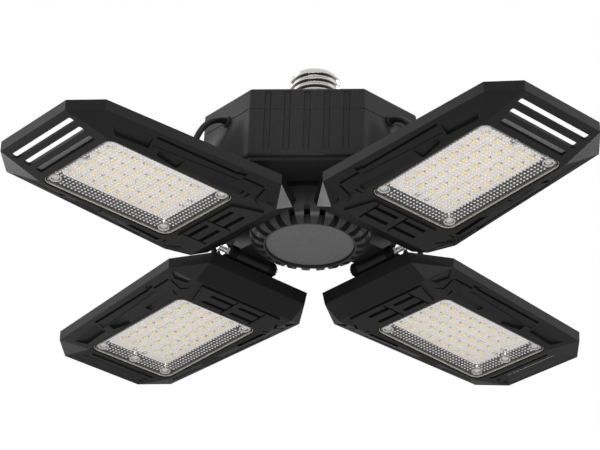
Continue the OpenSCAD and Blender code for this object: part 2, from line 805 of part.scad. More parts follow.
module lead_gland(i) {
    color("#1a1a1b") at_panel(i) translate([gland_u, 0, sink_back]) difference() {
        union() {
            cylinder(r = gland_r, h = gland_h);
            translate([0, 0, gland_h]) cylinder(r1 = gland_r - 0.6, r2 = gland_r - 1.6, h = gland_nut_h);
        }
        translate([0, 0, -over]) cylinder(r = lead_bore_r, h = gland_h + gland_nut_h + 2 * over);
    }
}

// ---------------------------------------------------------------- leads

function tilted(i, u, w) = let (t = tilts[i - 1])
    [axis_u + (u - axis_u) * cos(t) - (w - axis_w) * sin(t), (u - axis_u) * sin(t) + (w - axis_w) * cos(t) + axis_w];

function lead_route(i) = concat(
    [[face_dist - housing_wall, grommet_w], [face_dist + 1.5, grommet_w]],
    lead_mid,
    [tilted(i, gland_u, sink_back + gland_h + gland_nut_h + 1.5), tilted(i, gland_u, sink_back + 0.5)]);

function unit(v) = v / norm(v);

// Direction of a route at point k, in its plane
function heading(path, k) = unit(path[min(k + 1, len(path) - 1)] - path[max(k - 1, 0)]);

module tube_along(path, r, sides) {
    n = len(path);
    rings = [for (k = [0:n - 1]) let (h = heading(path, k)) [for (s = [0:sides - 1])
        let (a = 360 / sides * s)
        [path[k][0] - h[1] * r * cos(a), r * sin(a), path[k][1] + h[0] * r * cos(a)]]];
    points = [for (ring = rings) each ring];
    walls = [for (k = [0:n - 2], s = [0:sides - 1]) let (t = (s + 1) % sides) each
        [[k * sides + s, (k + 1) * sides + s, (k + 1) * sides + t], [k * sides + s, (k + 1) * sides + t, k * sides + t]]];
    first = [[for (s = [0:sides - 1]) s]];
    last = [[for (s = [sides - 1:-1:0]) (n - 1) * sides + s]];
    polyhedron(points, concat(walls, first, last));
}

module lead(i) {
    color("#101011") at_arm(i) tube_along(lead_route(i), lead_d / 2, 8);
}

// ---------------------------------------------------------------- what is drawn

screw_shell();
base_insulator();
centre_contact();
housing_cover();
housing_case();
housing_base();
driver_board();
hub();
hub_cap();
lead_grommets();
housing_screws();
for (i = [1:4]) {
    panel_frame(i);
    lens(i);
    gasket(i);
    led_board(i);
    leds(i);
    heat_sink(i);
    panel_screws(i);
    hinge_bracket(i);
    hinge_bolt(i);
    hinge_nut(i);
    lead_gland(i);
    lead(i);
}
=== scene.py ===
"""Looks of the screw-in ceiling light with four folding LED panels.

Sizes below are millimetres unless a name says otherwise; MM turns them into metres when a
mesh is made. A panel's own frame has u outwards, v counter-clockwise and w up from its rear
edge, so its front face is at a negative w.
"""

import math

import bmesh
import bpy
from mathutils import Matrix, Vector


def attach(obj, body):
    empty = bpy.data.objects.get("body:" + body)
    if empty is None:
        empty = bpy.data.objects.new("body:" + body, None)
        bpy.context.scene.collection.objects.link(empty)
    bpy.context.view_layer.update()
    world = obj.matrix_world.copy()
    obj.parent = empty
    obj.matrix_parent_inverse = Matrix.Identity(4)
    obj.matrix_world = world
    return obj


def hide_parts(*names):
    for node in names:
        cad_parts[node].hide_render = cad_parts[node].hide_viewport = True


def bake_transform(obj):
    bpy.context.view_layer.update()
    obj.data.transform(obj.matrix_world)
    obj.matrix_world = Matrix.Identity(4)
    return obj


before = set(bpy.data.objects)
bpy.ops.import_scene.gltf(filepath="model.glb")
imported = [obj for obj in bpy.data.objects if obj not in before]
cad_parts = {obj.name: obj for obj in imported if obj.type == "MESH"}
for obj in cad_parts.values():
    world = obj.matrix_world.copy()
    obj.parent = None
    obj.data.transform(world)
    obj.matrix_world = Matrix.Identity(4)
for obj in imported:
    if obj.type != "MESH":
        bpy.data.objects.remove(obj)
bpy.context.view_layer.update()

MM = 0.001
AXIS_R = 0.001  # radius that stands for a point on a turned shape's axis
PANELS = (1, 2, 3, 4)

# ---- sizes shared with the solids

PANEL_Z = -79.0
AXIS_U, AXIS_W = 39.2, 5.8
TILTS = {1: -2.0, 2: -2.0, 3: 0.0, 4: 4.0}
HINGE_SHIFT = 5.8
INNER_U, LOWER_U, WIDE_U = 36.5, 39.2, 56.9
CORNER_AT, OUTER_U = 155.7, 168.3
INNER_HALF, LOWER_HALF, WIDE_HALF = 30.8, 31.5, 43.65
END_HALF, TIP_HALF = 37.8, 24.8
SIDE_H, PANEL_T = 5.3, 10.7
CHIN_U, CHIN_HALF = 49.5, 31.84
FACE_END, FACE_HALF = 144.8, 26.2
FRAME_WALL = 1.8
LENS_U0, LENS_U1, LENS_HALF, LENS_R = 70.6, 143.3, 24.9, 4.0
LENS_T = 1.6
SINK_FRONT, SINK_BACK = -5.2, -2.2
FOOT_BACK = -0.6
LENS_MID = 106.95
LIP_W = -PANEL_T + 1.0
LENS_POSTS = [(139.5, 20.8), (139.5, -20.8), (139.5, 0.0), (74.8, 21.5), (74.8, -21.5)]
FRAME_POSTS = [(61.6, 28.8), (61.6, -28.8), (134.3, 27.8), (134.3, -27.8)]
PIN_R, PIN_HEAD_R, PIN_HEAD_H = 1.2, 2.1, 1.2
EAR_OUT = 14.75
GLAND_U = 78.0

HOUSING_W, HOUSING_FLAT, HOUSING_WALL = 105.0, 55.4, 2.4
COVER_TOP, SPLIT_Z, CASE_BOTTOM, PLATE_BOTTOM = -18.8, -30.4, -56.7, -59.0
FACE_DIST = 56.71
CAP_R, CAP_Z, CAP_T = 22.2, -76.8, 2.0
DRIVER_TOP = CASE_BOTTOM + 6.62
HUB_RING_R = 30.3


def side(k):
    return 1 if k % 2 == 0 else -1


def arm_turn(k):
    return Matrix.Rotation(math.radians(90 * k - 45), 4, "Z")


def arm_matrix(k):
    return Matrix.Translation((0, 0, PANEL_Z)) @ arm_turn(k)


def panel_matrix(k):
    pivot = Matrix.Translation((AXIS_U, 0, AXIS_W))
    tilt = Matrix.Rotation(math.radians(-TILTS[k]), 4, "Y")
    return arm_matrix(k) @ pivot @ tilt @ pivot.inverted()


def hinge_matrix(k):
    mirror = Matrix.Diagonal((1, side(k), 1, 1))
    return panel_matrix(k) @ Matrix.Translation((AXIS_U, side(k) * HINGE_SHIFT, AXIS_W)) @ mirror


# ---- mesh helpers


def new_object(name, data, material=None):
    obj = bpy.data.objects.new(name, data)
    bpy.context.scene.collection.objects.link(obj)
    if material:
        data.materials.clear()
        data.materials.append(material)
    return obj


def mesh_of(points, faces):
    """A mesh in metres from points in millimetres."""
    mesh = bpy.data.meshes.new("m")
    mesh.from_pydata([Vector(p) * MM for p in points], [], faces)
    mesh.validate()
    return mesh


def shade(mesh, angle=32):
    mesh.polygons.foreach_set("use_smooth", [True] * len(mesh.polygons))
    mesh.set_sharp_from_angle(angle=math.radians(angle))
    return mesh


def tidy(mesh, flat_angle=1.0):
    """Joins doubled points, melts flat triangles together and points every face outwards."""
    bm = bmesh.new()
    bm.from_mesh(mesh)
    bmesh.ops.remove_doubles(bm, verts=bm.verts, dist=4e-6)
    bmesh.ops.dissolve_degenerate(bm, edges=bm.edges, dist=2e-6)
    if flat_angle:
        bmesh.ops.dissolve_limit(
            bm, angle_limit=math.radians(flat_angle), verts=bm.verts, edges=bm.edges
        )
    bmesh.ops.recalc_face_normals(bm, faces=bm.faces)
    bm.to_mesh(mesh)
    bm.free()
    if "custom_normal" in mesh.attributes:
        mesh.attributes.remove(mesh.attributes["custom_normal"])
    return mesh


def hull(points):
    """A closed convex mesh around points."""
    bm = bmesh.new()
    for p in points:
        bm.verts.new(Vector(p) * MM)
    made = bmesh.ops.convex_hull(bm, input=bm.verts)
    spare = made["geom_interior"] + made["geom_unused"]
    extra = list({v for v in spare if isinstance(v, bmesh.types.BMVert)})
    bmesh.ops.delete(bm, geom=extra, context="VERTS")
    bmesh.ops.dissolve_limit(bm, angle_limit=0.01, verts=bm.verts, edges=bm.edges)
    bmesh.ops.recalc_face_normals(bm, faces=bm.faces)
    mesh = bpy.data.meshes.new("hull")
    bm.to_mesh(mesh)
    bm.free()
    return mesh


def joined(meshes):
    """One mesh from (mesh, matrix) pairs or plain meshes; matrices are in millimetres."""
    bm = bmesh.new()
    for item in meshes:
        mesh, matrix = item if isinstance(item, tuple) else (item, None)
        copy = mesh.copy()
        if matrix is not None:
            copy.transform(metric(matrix))
            if matrix.determinant() < 0:
                copy.flip_normals()
        bm.from_mesh(copy)
        bpy.data.meshes.remove(copy)
    out = bpy.data.meshes.new("joined")
    bm.to_mesh(out)
    bm.free()
    return out


def metric(matrix):
    """The same placing, from millimetres to metres."""
    out = matrix.copy()
    for row in range(3):
        out[row][3] *= MM
    return out


def applied(obj):
    """The object's mesh with its modifiers applied; the object goes."""
    bpy.context.view_layer.update()
    graph = bpy.context.evaluated_depsgraph_get()
    mesh = bpy.data.meshes.new_from_object(obj.evaluated_get(graph), depsgraph=graph)
    bpy.data.objects.remove(obj)
    return mesh


def combined(base, others, operation="DIFFERENCE"):
    """base with the other meshes cut from it or added to it."""
    work = new_object("work", base)
    tool = new_object("tool", joined(others) if isinstance(others, list) else others)
    step = work.modifiers.new("b", "BOOLEAN")
    step.operation = operation
    step.solver = "EXACT"
    step.use_self = True
    step.object = tool
    mesh = applied(work)
    bpy.data.objects.remove(tool)
    return mesh


def creased(mesh, low, high):
    """Keeps edges turning by low to high degrees crisp; wider ones get a bevel later."""
    bm = bmesh.new()
    bm.from_mesh(mesh)
    for edge in bm.edges:
        turn = math.degrees(edge.calc_face_angle(0.0))
        edge.smooth = not low < turn <= high
    bm.to_mesh(mesh)
    bm.free()
    return mesh


def bevelled(mesh, width, angle, segments=2, crease=None):
    """Rounds the edges that turn by more than angle; flat faces stay flat in their shading."""
    mesh.polygons.foreach_set("use_smooth", [True] * len(mesh.polygons))
    if crease:
        creased(mesh, crease, angle)
    work = new_object("work", mesh)
    step = work.modifiers.new("v", "BEVEL")
    step.width = width * MM
    step.segments = segments
    step.limit_method = "ANGLE"
    step.angle_limit = math.radians(angle)
    step.use_clamp_overlap = True
    step.harden_normals = True
    return applied(work)


def lathe(profile, steps=96):
    """Turns a closed line of (r, z) pairs round the z axis, into a ring or a solid."""
    points, faces = [], []
    n = len(profile)
    for s in range(steps):
        a = 2 * math.pi * s / steps
        points += [(r * math.cos(a), r * math.sin(a), z) for r, z in profile]
    for s in range(steps):
        t = (s + 1) % steps
        for k in range(n):
            j = (k + 1) % n
            faces.append((s * n + k, t * n + k, t * n + j, s * n + j))
    return tidy(mesh_of(points, faces), 0)


def disc(r, z0, z1, steps):
    return lathe([(AXIS_R, z0), (r, z0), (r, z1), (AXIS_R, z1)], steps)


def prism(outline, z0, z1):
    """A straight block over an (x, y) outline."""
    n = len(outline)
    points = [(x, y, z0) for x, y in outline] + [(x, y, z1) for x, y in outline]
    faces = [tuple(range(n))[::-1], tuple(range(n, 2 * n))]
    faces += [(k, (k + 1) % n, n + (k + 1) % n, n + k) for k in range(n)]
    return tidy(mesh_of(points, faces), 0)


def rounded_rect(u0, u1, half, r, steps=6):
    out = []
    right, left, side_v = u1 - r, u0 + r, half - r
    corners = ((right, side_v, 0), (left, side_v, 90), (left, -side_v, 180), (right, -side_v, 270))
    for cu, cv, start in corners:
        for s in range(steps + 1):
            a = math.radians(start + 90 * s / steps)
            out.append((cu + r * math.cos(a), cv + r * math.sin(a)))
    return out


def lens_rect(outset, steps=6):
    """The clear cover's outline, grown by outset."""
    return rounded_rect(LENS_U0 - outset, LENS_U1 + outset, LENS_HALF + outset, LENS_R + outset, steps)


def box(u0, u1, v0, v1, w0, w1):
    return prism([(u0, v0), (u1, v0), (u1, v1), (u0, v1)], w0, w1)


def ring_loft(rings, close=True):
    """A skin through rings with the same number of points, each a list of (x, y, z)."""
    n, m = len(rings[0]), len(rings)
    points = [p for ring in rings for p in ring]
    faces = []
    for j in range(m if close else m - 1):
        i = (j + 1) % m
        for k in range(n):
            q = (k + 1) % n
            faces.append((j * n + k, j * n + q, i * n + q, i * n + k))
    if not close:
        faces += [tuple(range(n))[::-1], tuple(range((m - 1) * n, m * n))]
    return tidy(mesh_of(points, faces), 0)


def at_height(outline, z, scale=1.0):
    return [(x * scale, y * scale, z) for x, y in outline]


def outline_ring(pairs):
    """A closed band through (outline, height) pairs."""
    return ring_loft([at_height(outline, w) for outline, w in pairs])


def spread_over(mesh, spots):
    """The mesh once at each (u, v)."""
    return [(mesh, Matrix.Translation((u, v, 0))) for u, v in spots]


def place(name, mesh, material, body, replaces=(), matrix=None):
    """Puts a piece on its body, in place of the solids that it stands for."""
    if matrix is not None:
        mesh = mesh.copy()
        mesh.transform(metric(matrix))
    obj = new_object(name, mesh, material)
    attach(obj, body)
    if replaces:
        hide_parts(*replaces)


# ---- materials


class Nodes:
    """A short way to write a node tree."""

    def __init__(self, name):
        self.material = bpy.data.materials.new(name)
        self.material.use_nodes = True
        self.tree = self.material.node_tree
        self.shader = self.tree.nodes["Principled BSDF"]
        self.coords = self.tree.nodes.new("ShaderNodeTexCoord").outputs["Object"]

    def feed(self, socket, value):
        """Links an output to a socket, or writes a plain value on it."""
        if hasattr(value, "is_output"):
            self.tree.links.new(value, socket)
        else:
            socket.default_value = value

    def node(self, kind, **values):
        """A node with its sockets fed, or its own settings made, by name."""
        made = self.tree.nodes.new(kind)
        for key, value in values.items():
            if key in made.inputs:
                self.feed(made.inputs[key], value)
            else:
                setattr(made, key, value)
        return made

    def noise(self, scale, detail=3.0):
        made = self.node("ShaderNodeTexNoise", Scale=scale, Detail=detail, Roughness=0.55, Vector=self.coords)
        return made.outputs["Fac"]

    def spread(self, fac, low, high, to_low=0.0, to_high=1.0):
        """Maps low..high on to to_low..to_high."""
        made = self.node("ShaderNodeMapRange")
        for key, value in (("Value", fac), ("From Min", low), ("From Max", high), ("To Min", to_low),
                           ("To Max", to_high)):
            self.feed(made.inputs[key], value)
        return made.outputs["Result"]

    def blend(self, fac, first, second):
        made = self.node("ShaderNodeMix", data_type="RGBA", Factor=fac)
        for index, colour in ((6, first), (7, second)):
            self.feed(made.inputs[index], (*colour, 1) if isinstance(colour, tuple) else colour)
        return made.outputs[2]

    def math(self, operation, a, b):
        made = self.node("ShaderNodeMath", operation=operation)
        self.feed(made.inputs[0], a)
        self.feed(made.inputs[1], b)
        return made.outputs[0]

    def bump(self, height, strength, distance):
        made = self.node("ShaderNodeBump", Strength=strength, Distance=distance, Height=height)
        self.feed(self.shader.inputs["Normal"], made.outputs["Normal"])

    def inside(self, value, low, high):
        """Mask that is 1 where a length lies between low and high."""
        over = self.math("GREATER_THAN", value, low * MM)
        under = self.math("LESS_THAN", value, high * MM)
        return self.math("MULTIPLY", over, under)

    def box_mask(self, axes, u0, u1, half):
        across = self.inside(axes.outputs["X"], u0, u1)
        return self.math("MULTIPLY", across, self.inside(axes.outputs["Y"], -half, half))

    def set(self, **values):
        for key, value in values.items():
            self.feed(self.shader.inputs[key.replace("_", " ")], value)


# near-black colour used as painted shade
PAINTED_SHADE_BLACK = (0.003, 0.003, 0.003)


def grained(name, dark, light, rough, grain, depth, level=0.5, slant_level=None, shade_part=None):
    """Fine-grained plastic, rubber, paint or ceramic.

    slant_level is the gloss left where the surface is seen at a slant, and the last argument makes the
    mask of an area whose colour is painted near-black as painted shade.
    """
    n = Nodes(name)
    fine = n.noise(grain, 2.0)
    broad = n.noise(38, 4.0)
    colour = n.blend(n.spread(fine, 0.35, 0.7), dark, light)
    dust_and_shade = n.blend(n.spread(broad, 0.45, 0.75, 0.0, 0.35), colour, light)
    if shade_part:
        # painted shade: the masked area's colour is blended to near-black
        dust_and_shade = n.blend(shade_part(n), dust_and_shade, PAINTED_SHADE_BLACK)
    if slant_level is not None:
        facing = n.node("ShaderNodeLayerWeight", Blend=0.5).outputs["Facing"]
        level = n.spread(facing, 0.5, 0.72, level, slant_level)
    n.set(
        Base_Color=dust_and_shade,
        Roughness=n.spread(broad, 0.3, 0.7, *rough),
        Specular_IOR_Level=level,
    )
    n.bump(fine, 0.35, depth)
    return n.material


def metal(name, colour, rough, grain=900, depth=0.000004):
    """Bare metal with darker patches and a grain in its gloss."""
    n = Nodes(name)
    fine = n.noise(grain)
    worn = n.noise(120, 4.0)
    darker = tuple(c * 0.94 for c in colour)
    n.set(
        Base_Color=n.blend(n.spread(worn, 0.35, 0.7), colour, darker),
        Roughness=n.spread(fine, 0.3, 0.7, *rough),
        Metallic=1.0,
    )
    n.bump(fine, 0.25, depth)
    return n.material


def panel_axes(n, k):
    """The panel's own u, v and w at each point."""
    turn = metric(panel_matrix(k)).inverted()
    local = n.node("ShaderNodeMapping", Vector=n.coords, Location=turn.to_translation(),
                   Rotation=turn.to_euler())
    return n.node("ShaderNodeSeparateXYZ", Vector=local.outputs["Vector"])


def panel_material(k):
    """Satin black, with painted shade: the side that faces the hub is painted near-black."""
    # mask of the side that faces the hub, where the colour is painted near-black as shade
    def hub_side_shade(n):
        return n.box_mask(panel_axes(n, k), 0, CHIN_U + 0.4, LOWER_HALF + 0.1)

    return grained(f"panel_black_{k}", (0.006, 0.006, 0.0065), (0.011, 0.011, 0.0115), (0.34, 0.44),
                   2200, 0.000010, 0.18, 0.01, hub_side_shade)


def hub_arms_shade_mask(n):
    """Mask of the hub's arms, outside its ribbed ring, whose colour is painted near-black as shade."""
    flat = n.node("ShaderNodeVectorMath", operation="MULTIPLY")
    n.feed(flat.inputs[0], n.coords)
    n.feed(flat.inputs[1], (1, 1, 0))
    reach = n.node("ShaderNodeVectorMath", operation="LENGTH", Vector=flat.outputs[0])
    return n.spread(reach.outputs["Value"], HUB_RING_R * MM, (HUB_RING_R + 1) * MM)


def lens_material(k):
    """Clear sheet in the panel's own coordinates, a little hazy at its moulded rim."""
    n = Nodes(f"clear_lens_{k}")
    axes = panel_axes(n, k)
    inner = n.box_mask(axes, LENS_U0 + 0.8, LENS_U1 - 0.8, LENS_HALF - 0.8)
    front = n.math("LESS_THAN", axes.outputs["Z"], (-PANEL_T + 1.1) * MM)
    rim = n.math("MULTIPLY", n.math("SUBTRACT", 1.0, inner), front)
    haze = n.noise(60)
    fine = n.noise(900, 2.0)
    n.set(
        Base_Color=n.blend(haze, (0.88, 0.88, 0.88), (0.95, 0.95, 0.95)),
        Roughness=n.spread(haze, 0.3, 0.7, 0.05, 0.10),
        Alpha=n.math("ADD", n.spread(rim, 0, 1, 0.035, 0.30), n.math("MULTIPLY", fine, 0.02)),
        IOR=1.49,
    )
    n.bump(haze, 0.15, 0.00005)
    return n.material


def glint_painted_material(name, alpha):
    """Small moulded cells or screw bosses of the clear lens; their milky white colour is painted glint."""
    n = Nodes(name)
    haze = n.noise(400, 2.0)
    n.set(
        Base_Color=n.blend(haze, (0.90, 0.89, 0.88), (0.97, 0.96, 0.95)),
        Roughness=n.spread(haze, 0.3, 0.7, 0.3, 0.45),
        Alpha=alpha,
        IOR=1.49,
    )
    n.bump(haze, 0.1, 0.00001)
    return n.material


def board_material():
    n = Nodes("led_board")
    fine = n.noise(1500, 2.0)
    broad = n.noise(90)
    n.set(
        Base_Color=n.blend(n.spread(broad, 0.35, 0.7), (0.84, 0.79, 0.745), (0.79, 0.74, 0.695)),
        Roughness=n.spread(fine, 0.3, 0.7, 0.38, 0.5),
    )
    n.bump(fine, 0.2, 0.00001)
    return n.material


def circuit_material():
    """Green board at the bottom, mounted parts above it."""
    n = Nodes("circuit_board")
    split = n.node("ShaderNodeSeparateXYZ", Vector=n.coords)
    part = n.math("GREATER_THAN", split.outputs["Z"], DRIVER_TOP * MM)
    fine = n.noise(700)
    board = n.blend(fine, (0.010, 0.10, 0.035), (0.02, 0.17, 0.06))
    parts = n.blend(n.noise(45, 0.0), (0.05, 0.05, 0.055), (0.42, 0.33, 0.12))
    n.set(Base_Color=n.blend(part, board, parts), Roughness=n.spread(fine, 0.3, 0.7, 0.3, 0.55))
    n.bump(fine, 0.3, 0.00003)
    return n.material


MAT = {
    "plastic": grained("black_plastic", (0.016, 0.016, 0.017), (0.029, 0.029, 0.031), (0.36, 0.50),
                       2600, 0.000012, 0.22),
    # the hub's arms, outside the ribbed ring, get painted shade
    "hub": grained("hub_black", (0.016, 0.016, 0.017), (0.028, 0.028, 0.030), (0.30, 0.42),
                   2600, 0.000012, 0.34, 0.10, hub_arms_shade_mask),
    "base": grained("base_black", (0.009, 0.009, 0.0095), (0.017, 0.017, 0.018), (0.36, 0.50),
                    2600, 0.000012, 0.2),
    "cap": grained("cap_black", (0.080, 0.080, 0.082), (0.135, 0.135, 0.138), (0.50, 0.62),
                   2400, 0.00003, 0.2),
    "rubber": grained("black_rubber", (0.006, 0.006, 0.006), (0.014, 0.014, 0.014), (0.45, 0.6),
                      1500, 0.00002, 0.25),
    "chrome": metal("plated_steel", (0.60, 0.59, 0.58), (0.08, 0.16)),
    "contact": metal("contact_metal", (0.86, 0.86, 0.84), (0.22, 0.34), 1400),
    "insulator": grained("insulator", (0.74, 0.73, 0.69), (0.86, 0.85, 0.81), (0.35, 0.5),
                         900, 0.00002),
    "steel": metal("steel_fasteners", (0.74, 0.74, 0.75), (0.16, 0.28), 1600),
    "aluminium": metal("bare_aluminium", (0.62, 0.63, 0.65), (0.34, 0.5), 1300, 0.00002),
    "black_steel": grained("black_steel", (0.003, 0.003, 0.003), (0.006, 0.006, 0.0065), (0.35, 0.5),
                           1800, 0.00002, 0.06),
    "black_screws": metal("black_screws", (0.06, 0.06, 0.065), (0.3, 0.45), 1600),
    "silicone": grained("silicone", (0.50, 0.37, 0.19), (0.66, 0.50, 0.28), (0.45, 0.6), 900, 0.00002),
    "screen": grained("slot_screen", (0.10, 0.10, 0.105), (0.17, 0.17, 0.175), (0.4, 0.5),
                      1300, 0.00002, 0.3),
    "seal": grained("seal_bead", (0.52, 0.46, 0.35), (0.62, 0.56, 0.44), (0.45, 0.6), 900, 0.00002, 0.3),
    "board": board_material(),
    "led_body": grained("led_body", (0.78, 0.78, 0.76), (0.88, 0.88, 0.86), (0.35, 0.5), 900, 0.00001),
    "phosphor": grained("led_phosphor", (0.94, 0.73, 0.36), (0.98, 0.79, 0.43), (0.3, 0.42),
                        1400, 0.00001),
    "dark_pad": grained("dark_pad", (0.20, 0.18, 0.15), (0.30, 0.27, 0.23), (0.4, 0.5), 900, 0.00001),
    "circuit": circuit_material(),
    # the moulded cells and bosses are real shapes; their milky white colour is painted glint
    "cells": glint_painted_material("lens_cells_painted_glint", 0.66),
    "bosses": glint_painted_material("lens_bosses_painted_glint", 0.36),
    # dark sheet that paints the shade in the gap round the board
    "shade_sheet": grained("painted_shade_sheet", (0.010, 0.010, 0.011), (0.022, 0.022, 0.024), (0.45, 0.6),
                     1500, 0.00002, 0.1),
    "solder": metal("tinned_pads", (0.62, 0.62, 0.60), (0.25, 0.4), 1400),
}

# ---- screw base


THREAD_START, THREAD_PITCH, THREAD_TURNS = 5.1, 3.63, 4
THREAD_CREST, THREAD_ROOT, THREAD_FADE = 13.1, 11.8, 0.45
THREAD_TOP = THREAD_START + THREAD_TURNS * THREAD_PITCH
THREAD_STEPS, ROWS_PER_TURN = 120, 14


def thread_radius(a, z):
    """Radius of the rolled right-hand thread at an angle and a height."""
    fade_over = THREAD_FADE * THREAD_PITCH
    fade = min(1, max(0, (z - THREAD_START) / fade_over), max(0, (THREAD_TOP - z) / fade_over))
    wave = math.cos(2 * math.pi * ((z - THREAD_START) / THREAD_PITCH - a / (2 * math.pi)))
    shape = math.copysign(abs(wave) ** 0.8, wave)
    return THREAD_ROOT + (THREAD_CREST - THREAD_ROOT) * (0.5 - 0.5 * shape) * fade


def thread_mesh():
    """Thread over a plain skirt, closed in by a rounded crown and an inner wall."""
    def ring(z, radius):
        angles = (2 * math.pi * s / THREAD_STEPS for s in range(THREAD_STEPS))
        return [(radius(a, z) * math.cos(a), radius(a, z) * math.sin(a), z) for a in angles]

    def plain(pairs):
        return [ring(z, lambda a, z, r=r: r) for z, r in pairs]

    rings = plain(((0.0, 13.0), (0.15, 13.22), (0.5, 13.3), (3.4, 13.3), (3.85, 13.2), (4.1, 12.9),
                   (4.6, 12.1)))
    rows = THREAD_TURNS * ROWS_PER_TURN
    height = THREAD_TURNS * THREAD_PITCH
    rings += [ring(THREAD_START + height * j / rows, thread_radius) for j in range(rows + 1)]
    top = THREAD_TOP
    rings += plain(((top + 0.35, 11.3), (top + 0.7, 10.2), (top + 0.92, 8.9), (top + 0.99, 7.9),
                    (top + 0.6, 7.6), (top - 0.4, 7.6), (top - 0.4, 11.05), (4.2, 11.05), (3.3, 12.6),
                    (0.0, 12.6)))
    return shade(ring_loft(rings), 40)


def insulator_mesh():
    return shade(lathe([
        (1.5, 17.3), (11.0, 17.3), (11.0, 19.1), (7.5, 19.2), (7.5, 20.5), (7.35, 20.9), (6.6, 21.7),
        (5.9, 22.3), (5.3, 22.8), (4.9, 23.02), (1.5, 23.02),
    ]))


def contact_mesh():
    r, rim_z, dome = 4.8, 23.5, 1.6
    profile = [(AXIS_R, 23.03), (r, 23.03), (r, rim_z)]
    for a in range(12, 90, 12):
        profile.append((r * math.cos(math.radians(a)), rim_z + dome * math.sin(math.radians(a))))
    return shade(lathe(profile + [(AXIS_R, rim_z + dome)]))


place("screw_base_shell", thread_mesh(), MAT["chrome"], "lamp_body", ["screw_shell"])
place("base_glass", insulator_mesh(), MAT["insulator"], "lamp_body", ["base_insulator"])
place("base_contact", contact_mesh(), MAT["contact"], "lamp_body", ["centre_contact"])

# ---- housing

FLUTES = [(f - 2) * 9.6 for f in range(5)]
FLUTE_DEPTH = 0.7
CORNER_R = 1.6
BULGE, BULGE_HALF, BULGE_STEPS = 7.9, 13.6, 24
DIAG = math.sqrt(0.5)


def rounded_corner(centre, start):
    """Points and outward directions of a corner that turns by 45 degrees."""
    out = []
    for s in range(6):
        a = math.radians(start + 45 * s / 5)
        nx, ny = math.cos(a), math.sin(a)
        out.append((centre[0] + CORNER_R * nx, centre[1] + CORNER_R * ny, nx, ny))
    return out


def housing_outline(inset=0.0, flute=0.0, bulge=0.0):
    """Rounded octagon seen from above; flutes are cut in and cable bulges stand out."""
    flat, reach = HOUSING_FLAT / 2, HOUSING_W / 2
    edges = [(-flat + 2.2, 0.0)]
    for c in FLUTES:
        edges += [(c - 1.55, 0.0), (c - 1.35, 1.0), (c + 1.15, 1.0), (c + 1.65, 0.0)]
    edges += [(flat - 2.2, 0.0)]
    quarter = [(reach - flute * deep, y, 1.0, 0.0) for y, deep in edges]
    cut = CORNER_R * math.tan(math.radians(22.5))
    quarter += rounded_corner((reach - CORNER_R, flat - cut), 0)
    half = (reach - flat) / math.sqrt(2) - cut
    for s in range(1, BULGE_STEPS):
        t = -half + 2 * half * s / BULGE_STEPS
        swell = bulge * max(0.0, math.cos(math.pi / 2 * min(1.0, abs(t) / BULGE_HALF))) ** 1.25
        out = (FACE_DIST + swell) * DIAG
        quarter.append((out - t * DIAG, out + t * DIAG, DIAG, DIAG))
    quarter += rounded_corner((flat - cut, reach - CORNER_R), 45)
    outline = []
    for k in range(4):
        c, s = round(math.cos(math.pi / 2 * k)), round(math.sin(math.pi / 2 * k))
        for x, y, nx, ny in quarter:
            px, py = x - nx * inset, y - ny * inset
            outline.append((px * c - py * s, px * s + py * c))
    return outline


INNER_SCALE = 1 - HOUSING_WALL / (HOUSING_W / 2)


def case_mesh():
    """Lower case: rounded foot, flutes that stop short of it, and a soft swelling under each cable."""
    def swell(z):
        t = (z - CASE_BOTTOM) / (SPLIT_Z - 2.8 - CASE_BOTTOM)
        return BULGE * max(0.0, math.cos(math.pi / 2 * min(1.0, max(0.0, t)))) ** 0.9

    rings = []
    r = 1.1
    for a in (90, 60, 30, 0):
        z = CASE_BOTTOM + r * (1 - math.sin(math.radians(a)))
        rings.append(at_height(housing_outline(r * (1 - math.cos(math.radians(a))), 0, swell(z)), z))
    foot, seam = CASE_BOTTOM + 3.3, SPLIT_Z - 0.05
    rings.append(at_height(housing_outline(0, 0, swell(foot - 0.3)), foot - 0.3))
    for j in range(13):
        z = foot + (SPLIT_Z - 0.25 - foot) * j / 12
        rings.append(at_height(housing_outline(0, FLUTE_DEPTH, swell(z)), z))
    rings.append(at_height(housing_outline(0.22, FLUTE_DEPTH), seam))
    rings.append(at_height(housing_outline(), seam, INNER_SCALE))
    rings.append(at_height(housing_outline(0, 0, swell(CASE_BOTTOM + 1)), CASE_BOTTOM, INNER_SCALE))
    return shade(ring_loft(rings), 30)


